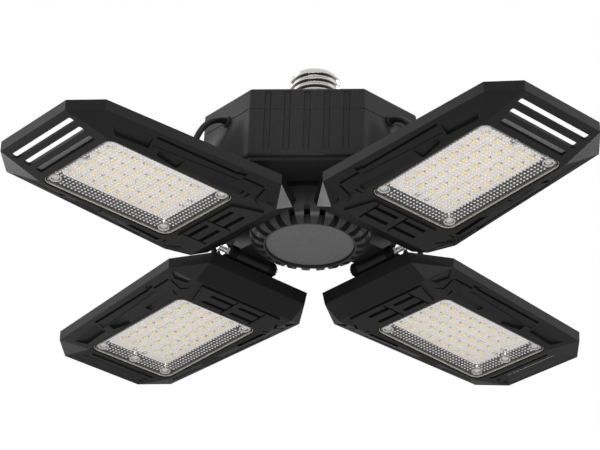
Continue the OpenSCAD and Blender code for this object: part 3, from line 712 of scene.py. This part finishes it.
def cover_mesh():
    """Upper cover: flutes stop below a rounded rim, and the top runs in to the tapered neck."""
    seam, flute_top = SPLIT_Z + 0.05, COVER_TOP - 2.0
    rings = [at_height(housing_outline(0.22, FLUTE_DEPTH), seam)]
    for z in (SPLIT_Z + 0.25, (SPLIT_Z + flute_top) / 2, flute_top):
        rings.append(at_height(housing_outline(0, FLUTE_DEPTH), z))
    rings.append(at_height(housing_outline(), flute_top + 0.3))
    r = 1.2
    for a in (0, 30, 60, 90):
        z = COVER_TOP - r * (1 - math.sin(math.radians(a)))
        rings.append(at_height(housing_outline(r * (1 - math.cos(math.radians(a)))), z))
    angles = [math.atan2(y, x) for x, y in housing_outline()]

    def circle(radius, z):
        return [(radius * math.cos(a), radius * math.sin(a), z) for a in angles]

    neck = [(24.2, COVER_TOP), (23.2, COVER_TOP + 0.3), (22.7, COVER_TOP + 1.2)]
    neck += [(22.7 - 7.9 * t / 8, COVER_TOP + 1.2 + 16.9 * t / 8) for t in range(1, 9)]
    neck += [(14.4, -0.25), (14.0, -0.02), (12.4, -0.02), (12.4, 3.2), (8.2, 3.2), (8.2, 0.0)]
    inner_top = COVER_TOP - HOUSING_WALL
    rings += [circle(radius, z) for radius, z in neck + [(20.6, inner_top)]]
    rings.append(at_height(housing_outline(), inner_top, INNER_SCALE))
    rings.append(at_height(housing_outline(), seam, INNER_SCALE))
    return shade(ring_loft(rings), 30)


place("lamp_case", case_mesh(), MAT["plastic"], "lamp_body", ["housing_case"])
place("lamp_cover", cover_mesh(), MAT["plastic"], "lamp_body", ["housing_cover"])


def dressed(name, node, material, body, width):
    """The solid's own mesh with rounded edges."""
    mesh = bevelled(tidy(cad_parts[node].data.copy()), width, 30)
    place(name, mesh, material, body, [node])


dressed("lamp_base_plate", "housing_base", MAT["base"], "lamp_body", 0.35)
dressed("driver", "driver_board", MAT["circuit"], "lamp_body", 0.3)
dressed("hub_ring", "hub", MAT["hub"], "lamp_body", 0.4)

# ---- hub cap


def cap_mesh():
    z, top = CAP_Z, CAP_Z + CAP_T
    dimple = [(AXIS_R, z + 0.55), (0.9, z + 0.5), (1.5, z + 0.36), (1.9, z + 0.16), (2.15, z + 0.02)]
    face = [(2.4, z), (12.0, z), (20.6, z), (21.6, z + 0.06), (22.0, z + 0.3), (CAP_R, z + 0.8)]
    return shade(lathe(dimple + face + [(CAP_R, top), (AXIS_R, top)], 128), 40)


place("hub_disc", cap_mesh(), MAT["cap"], "lamp_body", ["hub_cap"])


# ---- screws, bolts and nuts


def pan_screw(head_r, head_h, shank_r, length):
    """Pan-head screw, head down at z = 0, shank up, with a cross recess."""
    tip = head_h + length
    profile = [(AXIS_R, 0.0), (head_r * 0.55, 0.02), (head_r * 0.8, head_h * 0.12),
               (head_r * 0.94, head_h * 0.35), (head_r, head_h * 0.7), (head_r, head_h), (shank_r, head_h)]
    ridges = max(3, int(length / 0.9))
    for j in range(ridges):
        z = head_h + 0.3 + (length - 0.9) * j / ridges
        profile += [(shank_r, z), (shank_r * 0.8, z + 0.35 * length / ridges)]
    profile += [(shank_r, tip - 0.5), (shank_r * 0.7, tip), (AXIS_R, tip)]
    arm, wide, deep = head_r * 0.52, head_r * 0.11, head_h * 0.55
    slot = [(s * x, t * y, z) for x, y, z in ((arm, wide, -0.3), (arm * 0.6, wide * 0.7, deep))
            for s in (-1, 1) for t in (-1, 1)]
    recess = [hull(slot), hull([(y, x, z) for x, y, z in slot])]
    return shade(tidy(combined(lathe(profile, 28), recess), 0), 35)


FLIP = Matrix.Rotation(math.pi, 4, "X")

small = pan_screw(PIN_HEAD_R, PIN_HEAD_H, PIN_R, 5.9)
case_screw = pan_screw(2.8, 1.8, 1.5, 9.0)


def housing_screw_mesh():
    at_x, at_y = HOUSING_W / 2 - HOUSING_WALL - 3.2, HOUSING_FLAT / 2 - 6.0
    parts = []
    for s in range(4):
        spot = Matrix.Rotation(math.pi / 2 * s, 4, "Z") @ Matrix.Translation((at_x, at_y, 0))
        inner = Matrix.Rotation(math.pi / 4 + math.pi / 2 * s, 4, "Z") @ Matrix.Translation((17.6, 0, 0))
        parts.append((case_screw, Matrix.Translation((0, 0, COVER_TOP)) @ spot @ FLIP))
        parts.append((case_screw, Matrix.Translation((0, 0, PLATE_BOTTOM - 1.8)) @ spot))
        parts.append((case_screw, Matrix.Translation((0, 0, PLATE_BOTTOM - 4.8)) @ inner))
    return shade(joined(parts), 35)


place("case_screws", housing_screw_mesh(), MAT["black_screws"], "lamp_body", ["housing_screws"])


def grommet_mesh():
    r = 1.55
    profile = [(r + 0.12, -2.4), (2.75, -2.4), (2.75, 0.1), (3.1, 0.1), (3.1, 0.4), (2.8, 0.8), (2.3, 1.2),
               (r + 0.35, 1.4), (r + 0.12, 1.3)]
    one = lathe(profile, 40)
    lay = Matrix.Translation((FACE_DIST, 0, SPLIT_Z)) @ Matrix.Rotation(math.pi / 2, 4, "Y")
    return shade(joined([(one, arm_turn(k) @ lay) for k in PANELS]), 35)


place("cable_grommets", grommet_mesh(), MAT["rubber"], "lamp_body", ["lead_grommets"])

# ---- panel frame

SLOPE_FALL = (CHIN_HALF - FACE_HALF) / (FACE_END - CHIN_U)
SLOPE_WIDE = WIDE_HALF + SLOPE_FALL * (WIDE_U - CHIN_U) - CHIN_HALF


def slope_w(u, v):
    """Height of the sloping long side under a point (u, |v|)."""
    down = abs(v) - (CHIN_HALF - SLOPE_FALL * (u - CHIN_U))
    return -PANEL_T + (PANEL_T - SIDE_H) * down / SLOPE_WIDE


def slope_cut(corners):
    """Cutter into the sloping side: corners are (u, v, depth)."""
    points = []
    for u, v, depth in corners:
        w = slope_w(u, v)
        points += [(u, v, w + depth), (u, v, w - 1.2)]
    return hull(points)


def stroke(p, q, wide, depth):
    """Cutter along a line on the sloping side."""
    du, dv = q[0] - p[0], q[1] - p[1]
    size = math.hypot(du, dv)
    nu, nv = -dv / size * wide / 2, du / size * wide / 2
    return slope_cut([(u + sign * nu, v + sign * nv, depth) for u, v in (p, q) for sign in (1, -1)])


def both(points):
    return points + [(u, -v) for u, v in reversed(points)]


def panel_form(inset):
    """The panel's outer form, or the space inside it when inset is its wall."""
    rear = both([
        (INNER_U + inset, INNER_HALF - inset), (LOWER_U + inset, LOWER_HALF - inset),
        (WIDE_U, WIDE_HALF - inset), (CORNER_AT, END_HALF - inset), (OUTER_U - inset, TIP_HALF - inset / 2),
    ])
    foot = [(max(u, LOWER_U + inset), v) for u, v in rear]
    face = both([(CHIN_U + inset, CHIN_HALF - inset * 0.6), (FACE_END - inset, FACE_HALF - inset * 0.6)])
    top = 0.5 if inset else 0.0
    points = [(u, v, top) for u, v in rear] + [(u, v, -SIDE_H + inset * 0.4) for u, v in foot]
    points += [(u, v, -PANEL_T + inset) for u, v in face]
    return hull(points)


def slope_details():
    """Recesses and grooves of one long side, as cutters."""
    return [
        slope_cut([(69.8, 33.0, 1.6), (91.2, 31.5, 1.6), (87.8, 27.2, 0.1), (70.5, 28.3, 0.1)]),
        slope_cut([(106.9, 27.5, 1.6), (119.8, 29.2, 1.6), (120.4, 32.4, 0.1), (105.8, 33.3, 0.1)]),
        slope_cut([(125.3, 30.4, 1.6), (143.2, 28.9, 1.6), (147.8, 33.4, 0.1), (127.0, 36.2, 0.1)]),
        slope_cut([(76.0, 36.2, 0.4), (124.8, 32.3, 0.4), (125.2, 36.2, 0.02), (79.0, 38.3, 0.02)]),
        stroke((79.0, 38.9), (125.5, 36.9), 1.2, 1.4),
        stroke((75.2, 39.9), (79.6, 39.6), 1.9, 1.4),
        stroke((63.2, 38.6), (75.4, 38.1), 1.0, 1.3),
        stroke((62.3, 38.0), (62.2, 32.0), 1.1, 1.3),
        stroke((62.7, 31.8), (57.8, 28.6), 1.1, 1.3),
        stroke((67.0, 32.6), (68.0, 28.4), 1.0, 1.2),
        stroke((68.2, 28.2), (64.3, 25.9), 1.0, 1.2),
        slope_cut([(51.8, 32.6, 0.1), (56.8, 42.0, 0.1), (60.0, 37.6, 0.9), (56.0, 32.6, 0.9)]),
    ]


# how far each outline lies outside the clear cover
OPENING_OUT, GAP_IN, STEP_OUT, GAP_OUT, COLLAR_OUT = 0.3, 0.9, 1.15, 1.2, 1.7
GROOVE_WIDE, GROOVE_DEEP = 2.3, 1.1
CUT_FRONT = -PANEL_T - 2  # where cutters start, in front of the face
SLOT_U, SLOT_STEP, SLOT_HALF, SLOT_WIDE = OUTER_U - 6, 6.4, 22.5, 3.3


def pad_grooves():
    """Cutters of the relief between the hub and the lens."""
    cuts = [box(51.25, 51.9, -25.0, 25.0, CUT_FRONT, -PANEL_T + 0.6)]
    for v0 in (2.0, -16.3):
        for u0 in (55.2, 62.1):
            cuts.append(box(u0, u0 + GROOVE_WIDE, v0 - 0.2, v0 + 14.3, CUT_FRONT, -PANEL_T + GROOVE_DEEP))
        across = ((52.4, 0.45), (52.4, -0.65), (66.6, -0.9), (66.6, 0.2))
        cuts.append(hull([(u, v0 + v, w) for u, v in across for w in (CUT_FRONT, -PANEL_T + 0.8)]))
    return cuts


def frame_mesh():
    """Panel frame: shell, pad and collar in one, less the lens opening, slots and relief."""
    body = combined(panel_form(0), [panel_form(FRAME_WALL)])
    collar = prism(lens_rect(COLLAR_OUT), -PANEL_T + 0.01, SINK_FRONT)
    post = disc(2.4, -PANEL_T + 0.6, SINK_FRONT, 24)
    within = combined(joined([collar] + spread_over(post, FRAME_POSTS)), panel_form(0.02), "INTERSECT")
    body = combined(body, within, "UNION")
    pad = [(u, v, w) for u, v in both([(51.9, 25.8), (67.0, 20.0)]) for w in (-PANEL_T - 0.9, -PANEL_T + 0.5)]
    body = combined(body, hull(pad), "UNION")
    body = tidy(combined(body, [prism(lens_rect(OPENING_OUT), -20, 2)]), 0.6)
    cuts = pad_grooves()
    cuts.append(prism(lens_rect(STEP_OUT), -20, LIP_W))
    outer, inner = lens_rect(GAP_OUT), lens_rect(GAP_IN)
    high, low = -PANEL_T - 1, LIP_W + 1.2
    cuts.append(outline_ring([(outer, high), (outer, low), (inner, low), (inner, high)]))
    for k in range(3):
        u = SLOT_U - SLOT_STEP * k
        outline = rounded_rect(u - SLOT_WIDE / 2, u + SLOT_WIDE / 2, SLOT_HALF - k, 0.8, 3)
        cuts.append(prism(outline, -PANEL_T - 1, -1.0))
    for sign in (1, -1):
        cuts += [joined([(cut, Matrix.Diagonal((1, sign, 1, 1)))]) for cut in slope_details()]
    body = combined(body, cuts)
    return bevelled(tidy(body, 0.6), 0.22, 28, 2, 7)


panel_frame_mesh = frame_mesh()
for k in PANELS:
    place(f"panel_bezel_{k}", panel_frame_mesh, panel_material(k), f"panel_{k}", [f"panel_frame_{k}"],
          panel_matrix(k))

# ---- lens, gasket, board and LEDs


POST_R, POST_BORE_R = 2.9, 1.28
LENS_BACK = -PANEL_T + LENS_T
SCREW_TIP = SINK_BACK - 5.9 - 0.2


def lens_mesh():
    """Clear cover with a rounded rim, a skirt down to the gasket and five bored screw posts."""
    steps = ((0.9, -PANEL_T), (0.35, -PANEL_T + 0.12), (0.08, -PANEL_T + 0.45), (0.0, -PANEL_T + 1.0),
             (0.0, -6.05), (2.0, -6.05), (2.0, LENS_BACK))
    shell = ring_loft([at_height(lens_rect(-inset, 8), w) for inset, w in steps], close=False)
    post = disc(2.05, LENS_BACK - 0.05, SINK_FRONT - 0.02, 28)
    shell = combined(shell, spread_over(post, LENS_POSTS), "UNION")
    bore = disc(POST_BORE_R, SCREW_TIP, 1.0, 24)
    return shade(tidy(combined(shell, spread_over(bore, LENS_POSTS)), 0.3), 30)


CELL_U, CELL_V, CELL_SIDES = 2.15, 2.1, 6
CELL_RINGS = ((0.46, LENS_BACK - 0.16), (0.59, LENS_BACK - 0.02))
CELL_MARGIN = 1.2


def cells_mesh():
    """Grid of small lens cells moulded in the back of the clear sheet."""
    n = CELL_SIDES
    points, faces = [], []
    half_u, half_v = (LENS_U1 - LENS_U0) / 2 - CELL_MARGIN, LENS_HALF - CELL_MARGIN
    for a in range(-17, 18):
        for b in range(-12, 13):
            u, v = LENS_MID + a * CELL_U, b * CELL_V
            if abs(a * CELL_U) > half_u or abs(v) > half_v:
                continue
            if any(math.hypot(u - pu, v - pv) < POST_R + 0.75 for pu, pv in LENS_POSTS):
                continue
            base = len(points)
            points.append((u, v, LENS_BACK - 0.19))
            for r, w in CELL_RINGS:
                turns = (2 * math.pi * s / n for s in range(n))
                points += [(u + r * math.cos(t), v + r * math.sin(t), w) for t in turns]
            points.append((u, v, LENS_BACK + 0.02))
            top = len(points) - 1
            for s in range(n):
                one, two = base + 1 + s, base + 1 + (s + 1) % n
                faces += [(base, two, one), (one, two, two + n, one + n), (one + n, two + n, top)]
    return shade(mesh_of(points, faces), 70)


def bosses_mesh():
    """Rounded rims and middles of the screw bosses in the back of the clear sheet."""
    back, r = LENS_BACK, POST_R
    rim = lathe([(2.2, back - 0.45), (2.45, back - 0.75), (r - 0.1, back - 0.6), (r, back - 0.3),
                 (r - 0.1, back + 0.15), (2.3, back + 0.15)], 32)
    middle = lathe([(AXIS_R, back - 0.14), (1.5, back - 0.1), (1.6, back + 0.02), (AXIS_R, back + 0.04)], 24)
    return shade(joined(spread_over(rim, LENS_POSTS) + spread_over(middle, LENS_POSTS)), 70)


def shade_sheet_mesh():
    """Thin dark sheet between the board and the lens's skirt, open round the posts: painted shade for the gap
    round the board.
    """
    outer, inner = lens_rect(-2.1), lens_rect(-2.5)
    flat = prism(outer, SINK_FRONT - 0.4, SINK_FRONT - 0.03)
    window = prism(rounded_rect(LENS_U0 + 4.85, LENS_U1 - 4.85, LENS_HALF - 4.85, 1.1), -8, 0)
    low, high = SINK_FRONT - 3.1, SINK_FRONT - 0.2
    edge = outline_ring([(outer, low), (outer, high), (inner, high), (inner, low)])
    holes = spread_over(disc(POST_R + 0.1, -8, 0, 28), LENS_POSTS)
    whole = combined(combined(flat, [window]), edge, "UNION")
    return bevelled(tidy(combined(whole, holes), 0.3), 0.06, 30, 1)


def seal_mesh():
    """Thin bead of sealant in the step round the clear cover."""
    inner, outer = lens_rect(0.66, 8), lens_rect(0.84, 8)
    low, high = LIP_W - 0.4, LIP_W + 0.02
    return shade(outline_ring([(inner, high), (inner, low), (outer, low), (outer, high)]), 30)


BOARD_FRONT = SINK_FRONT - 1.0
LED_SHIFT, LED_PITCH_U, LED_PITCH_V = 3.0, 7.0, 7.3


def board_turn(k):
    """The boards of panels 1 and 2 are mounted the other way round."""
    mid = Matrix.Translation((LENS_MID, 0, 0))
    return mid @ Matrix.Rotation(math.pi if k < 3 else 0.0, 4, "Z") @ mid.inverted()


def led_meshes():
    """Packages of the LEDs, their lit faces, a small part beside each, and two tinned pads."""
    package = bevelled(box(-1.75, 1.75, -1.4, 1.4, -0.74, 0.0), 0.1, 30, 1)
    face = bevelled(box(-1.72, 1.72, -1.37, 1.37, -0.86, -0.7), 0.06, 30, 1)
    mark = bevelled(box(-0.25, 0.25, -0.5, 0.5, -0.3, 0.0), 0.05, 30, 1)
    spots = []
    for a in range(8):
        for b in range(5):
            at = (LENS_MID + LED_SHIFT + (a - 3.5) * LED_PITCH_U, (b - 2) * LED_PITCH_V, BOARD_FRONT)
            spots.append(Matrix.Translation(at))
    beside = Matrix.Translation((2.35, 0.3, 0))
    groups = [[(package, spot) for spot in spots], [(face, spot) for spot in spots],
              [(mark, spot @ beside) for spot in spots]]
    pad = bevelled(box(-1.7, 1.7, -1.25, 1.25, -0.08, 0.0), 0.03, 30, 1)
    bead = lathe([(AXIS_R, -0.45), (0.5, -0.4), (0.95, -0.22), (1.15, 0.0), (AXIS_R, 0.0)], 20)
    pads = []
    for v in (-3.1, 3.1):
        spot = Matrix.Translation((LENS_U0 + 8.2, v, BOARD_FRONT))
        pads += [(pad, spot), (bead, spot @ Matrix.Translation((0, 0, -0.05)))]
    return [shade(joined(group), 35) for group in groups + [pads]]


# grey strip seen through the end slot next to the lens
screen_shape = bevelled(box(145.02, 150.6, -22.2, 22.2, -8.3, -7.5), 0.15, 30, 1)
lens_shape, cells_shape, bosses_shape = lens_mesh(), cells_mesh(), bosses_mesh()
shade_sheet_shape, seal_shape = shade_sheet_mesh(), seal_mesh()
led_body, led_face, led_mark, led_pads = led_meshes()
for k in PANELS:
    body, at = f"panel_{k}", panel_matrix(k)
    turned = at @ board_turn(k)
    place(f"lens_cover_{k}", lens_shape, lens_material(k), body, [f"lens_{k}"], at)
    place(f"lens_cells_painted_glint_{k}", cells_shape, MAT["cells"], body, [], at)
    place(f"lens_bosses_painted_glint_{k}", bosses_shape, MAT["bosses"], body, [], at)
    # dark sheet standing in for the shade round the board
    place(f"liner_{k}", shade_sheet_shape, MAT["shade_sheet"], body, [], at)
    place(f"slot_screen_{k}", screen_shape, MAT["screen"], body, [], at)
    place(f"seal_{k}", seal_shape, MAT["seal"], body, [], at)
    place(f"led_packages_{k}", led_body, MAT["led_body"], body, [], turned)
    place(f"led_faces_{k}", led_face, MAT["phosphor"], body, [f"leds_{k}"], turned)
    place(f"led_marks_{k}", led_mark, MAT["dark_pad"], body, [], turned)
    place(f"led_pads_{k}", led_pads, MAT["solder"], body, [], turned)
    dressed(f"gasket_ring_{k}", f"gasket_{k}", MAT["silicone"], body, 0.12)
    dressed(f"board_{k}", f"led_board_{k}", MAT["board"], body, 0.12)
    dressed(f"cooler_{k}", f"heat_sink_{k}", MAT["aluminium"], body, 0.3)
    dressed(f"bracket_{k}", f"hinge_bracket_{k}", MAT["black_steel"], body, 0.35)
    dressed(f"gland_{k}", f"lead_gland_{k}", MAT["plastic"], body, 0.3)

# ---- fasteners of a panel


def panel_screw_mesh(k):
    head_at = SINK_BACK + PIN_HEAD_H
    parts = [(small, Matrix.Translation((u, v, head_at)) @ FLIP) for u, v in LENS_POSTS + FRAME_POSTS]
    for s in (-1, 1):
        spot = (AXIS_U + 4 + 1.5 + 7, s * 7.85 + side(k) * HINGE_SHIFT, FOOT_BACK + PIN_HEAD_H)
        parts.append((small, Matrix.Translation(spot) @ FLIP))
    return shade(joined(parts), 35)


def hexagon(r, z0, z1):
    angles = [math.radians(60 * s) for s in range(6)]
    return prism([(r * math.cos(a), r * math.sin(a)) for a in angles], z0, z1)


def bolt_mesh():
    """Button-head bolt along +z: rounded head with a socket, shank, and a threaded end."""
    head_r, head_h, r = 2.775, 2.8, 1.5
    bottom, end = -EAR_OUT - head_h, EAR_OUT + 6.4
    profile = [(AXIS_R, bottom)]
    for a in range(15, 91, 15):
        a = math.radians(a)
        profile.append((head_r * math.sin(a), bottom + head_h * 0.62 * (1 - math.cos(a))))
    profile += [(head_r, -EAR_OUT), (r, -EAR_OUT), (r, EAR_OUT)]
    z = EAR_OUT
    while z < end - 0.3:
        profile += [(r, z), (r, z + 0.12), (r - 0.22, z + 0.25), (r - 0.22, z + 0.3)]
        z += 0.5
    profile += [(r - 0.2, end), (AXIS_R, end)]
    socket = hexagon(1.15, bottom - 1, bottom + 1.3)
    return shade(tidy(combined(lathe(profile, 36), [socket]), 0), 35)


def nut_mesh():
    """Hexagon nut with turned-off corners and a washer face."""
    z, r = EAR_OUT, 3.4
    dome = lathe([(AXIS_R, z - 0.5), (r, z - 0.5), (r, z + 1.9), (2.75, z + 2.4), (AXIS_R, z + 2.4)], 40)
    nut = combined(hexagon(3.15, z + 0.02, z + 2.4), dome, "INTERSECT")
    return shade(tidy(combined(nut, disc(1.55, z - 2, z + 4, 32)), 0.3), 30)


ALONG_BOLT = Matrix.Rotation(-math.pi / 2, 4, "X")
bolt_shape, nut_shape = bolt_mesh(), nut_mesh()
for k in PANELS:
    body = f"panel_{k}"
    at = hinge_matrix(k) @ ALONG_BOLT
    place(f"screws_{k}", panel_screw_mesh(k), MAT["steel"], body, [f"panel_screws_{k}"],
          panel_matrix(k))
    place(f"bolt_{k}", joined([(bolt_shape, at)]), MAT["steel"], body, [f"hinge_bolt_{k}"])
    place(f"nut_{k}", joined([(nut_shape, at)]), MAT["steel"], body, [f"hinge_nut_{k}"])

# ---- leads

LEAD_MID = [(61.5, 47.7), (66.0, 45.0), (70.2, 40.6), (73.4, 35.0), (75.7, 28.8), (77.1, 22.4), (77.8, 16.0)]


def tilted(k, u, w):
    c, s = math.cos(math.radians(TILTS[k])), math.sin(math.radians(TILTS[k]))
    return AXIS_U + (u - AXIS_U) * c - (w - AXIS_W) * s, (u - AXIS_U) * s + (w - AXIS_W) * c + AXIS_W


def smooth_path(points):
    """Catmull-Rom line through points, in eight steps from each to the next."""
    per = 8
    ends = [points[0]] + list(points) + [points[-1]]
    out = []
    for j in range(1, len(ends) - 2):
        p0, p1, p2, p3 = (Vector(ends[j + i]) for i in (-1, 0, 1, 2))
        for s in range(per):
            t = s / per
            square, cube = 2 * p0 - 5 * p1 + 4 * p2 - p3, 3 * p1 - p0 - 3 * p2 + p3
            out.append(0.5 * (2 * p1 + (p2 - p0) * t + square * t * t + cube * t ** 3))
    out.append(Vector(points[-1]))
    return out


def lead_mesh(k):
    grommet_w = SPLIT_Z - PANEL_Z
    route = [(FACE_DIST - HOUSING_WALL, grommet_w), (FACE_DIST + 1.5, grommet_w)] + LEAD_MID
    route += [tilted(k, GLAND_U, SINK_BACK + 8.1), tilted(k, GLAND_U, SINK_BACK + 0.5)]
    path = smooth_path(route)
    r, sides = 1.53, 20
    rings = []
    for j, p in enumerate(path):
        along = (path[min(j + 1, len(path) - 1)] - path[max(j - 1, 0)]).normalized()
        rings.append([
            (p[0] - along[1] * r * math.cos(a), r * math.sin(a), p[1] + along[0] * r * math.cos(a))
            for a in (2 * math.pi * s / sides for s in range(sides))
        ])
    mesh = ring_loft(rings, close=False)
    mesh.transform(metric(arm_matrix(k)))
    return shade(mesh, 40)


for k in PANELS:
    lead = new_object(f"cable_{k}", lead_mesh(k), MAT["rubber"])
    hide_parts(f"lead_{k}")
    start = metric(arm_matrix(k)) @ (Vector((60.5, 0, 48.0)) * MM)
    end_u, end_w = tilted(k, GLAND_U, SINK_BACK + 7.0)
    end = metric(arm_matrix(k)) @ (Vector((end_u, 0, end_w)) * MM)
    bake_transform(lead)

# ---- camera, studio and lights


CAMERA_YAW, CAMERA_PITCH, CAMERA_ROLL = (math.radians(a) for a in (-4.18, 29.48, 1.97))
CAMERA_TO_HUB = (5.28, -11.34, 1110.49)  # rightwards, upwards and forwards before the roll
FOCAL_PIXELS, PICTURE_WIDE, SENSOR = 2246.74, 600, 36.0


def add_camera():
    yaw, pitch, roll = CAMERA_YAW, CAMERA_PITCH, CAMERA_ROLL
    forward = Vector((math.sin(yaw) * math.cos(pitch), math.cos(yaw) * math.cos(pitch), math.sin(pitch)))
    level = Vector((math.cos(yaw), -math.sin(yaw), 0))
    rise = Vector((-math.sin(yaw) * math.sin(pitch), -math.cos(yaw) * math.sin(pitch), math.cos(pitch)))
    across, up_by, away = CAMERA_TO_HUB
    spot = Vector((0, 0, PANEL_Z)) - (across * level + up_by * rise + away * forward)
    right = math.cos(roll) * level + math.sin(roll) * rise
    up = -math.sin(roll) * level + math.cos(roll) * rise
    data = bpy.data.cameras.new("camera")
    data.sensor_width = SENSOR
    data.lens = FOCAL_PIXELS * SENSOR / PICTURE_WIDE
    data.clip_start, data.clip_end = 0.05, 30
    camera = new_object("camera", data)
    camera.matrix_world = Matrix.Translation(spot * MM) @ Matrix((right, up, -forward)).transposed().to_4x4()
    bpy.context.scene.camera = camera


def add_area(name, at, size, power):
    """Soft lamp that shines at the middle of the object; metres and watts."""
    data = bpy.data.lights.new(name, "AREA")
    data.shape = "RECTANGLE"
    data.size, data.size_y = size
    data.energy = power
    lamp = new_object(name, data)
    turn = (Vector(AIM) - Vector(at)).to_track_quat("-Z", "Y").to_matrix().to_4x4()
    lamp.matrix_world = Matrix.Translation(at) @ turn


def add_world():
    """White wherever it is seen or mirrored, dimmer as a light on matt surfaces."""
    world = bpy.data.worlds.new("studio")
    bpy.context.scene.world = world
    world.use_nodes = True
    tree = world.node_tree
    path = tree.nodes.new("ShaderNodeLightPath")
    seen = path.outputs["Is Camera Ray"]
    for ray in ("Is Glossy Ray", "Is Transmission Ray"):
        either = tree.nodes.new("ShaderNodeMath")
        either.operation = "MAXIMUM"
        tree.links.new(seen, either.inputs[0])
        tree.links.new(path.outputs[ray], either.inputs[1])
        seen = either.outputs[0]
    strength = tree.nodes.new("ShaderNodeMapRange")
    tree.links.new(seen, strength.inputs["Value"])
    strength.inputs["To Min"].default_value = WORLD_ON_MATT
    strength.inputs["To Max"].default_value = 1.0
    background = tree.nodes["Background"]
    background.inputs["Color"].default_value = (1, 1, 1, 1)
    tree.links.new(strength.outputs["Result"], background.inputs["Strength"])


def add_floor():
    n = Nodes("floor_paint")
    paint = n.blend(n.noise(3, 2.0), FLOOR_PAINT, tuple(c * 0.97 for c in FLOOR_PAINT))
    n.set(Base_Color=paint, Roughness=0.9)
    bm = bmesh.new()
    bmesh.ops.create_grid(bm, x_segments=8, y_segments=8, size=12.0)
    mesh = bpy.data.meshes.new("floor")
    bm.to_mesh(mesh)
    bm.free()
    floor = new_object("floor", mesh, n.material)
    floor.location = (0, 0, FLOOR_Z)


AIM = (0, 0, -0.06)
FLOOR_Z, FLOOR_PAINT = -1.3, (0.86, 0.86, 0.86)
WORLD_ON_MATT = 0.36

add_camera()
add_world()
add_floor()
add_area("front_below", (0.1, -0.95, -1.12), (1.5, 0.7), 14)
add_area("back_left", (-1.05, 1.15, -0.45), (0.6, 0.6), 8)
add_area("back_right", (1.05, 1.15, -0.45), (0.6, 0.6), 8)
add_area("left", (-1.4, 0.0, 0.45), (0.9, 0.9), 3)
add_area("right", (1.4, 0.0, 0.45), (0.9, 0.9), 1.5)
bpy.context.scene.view_settings.view_transform = "Standard"

# ---- leave

bpy.context.view_layer.update()
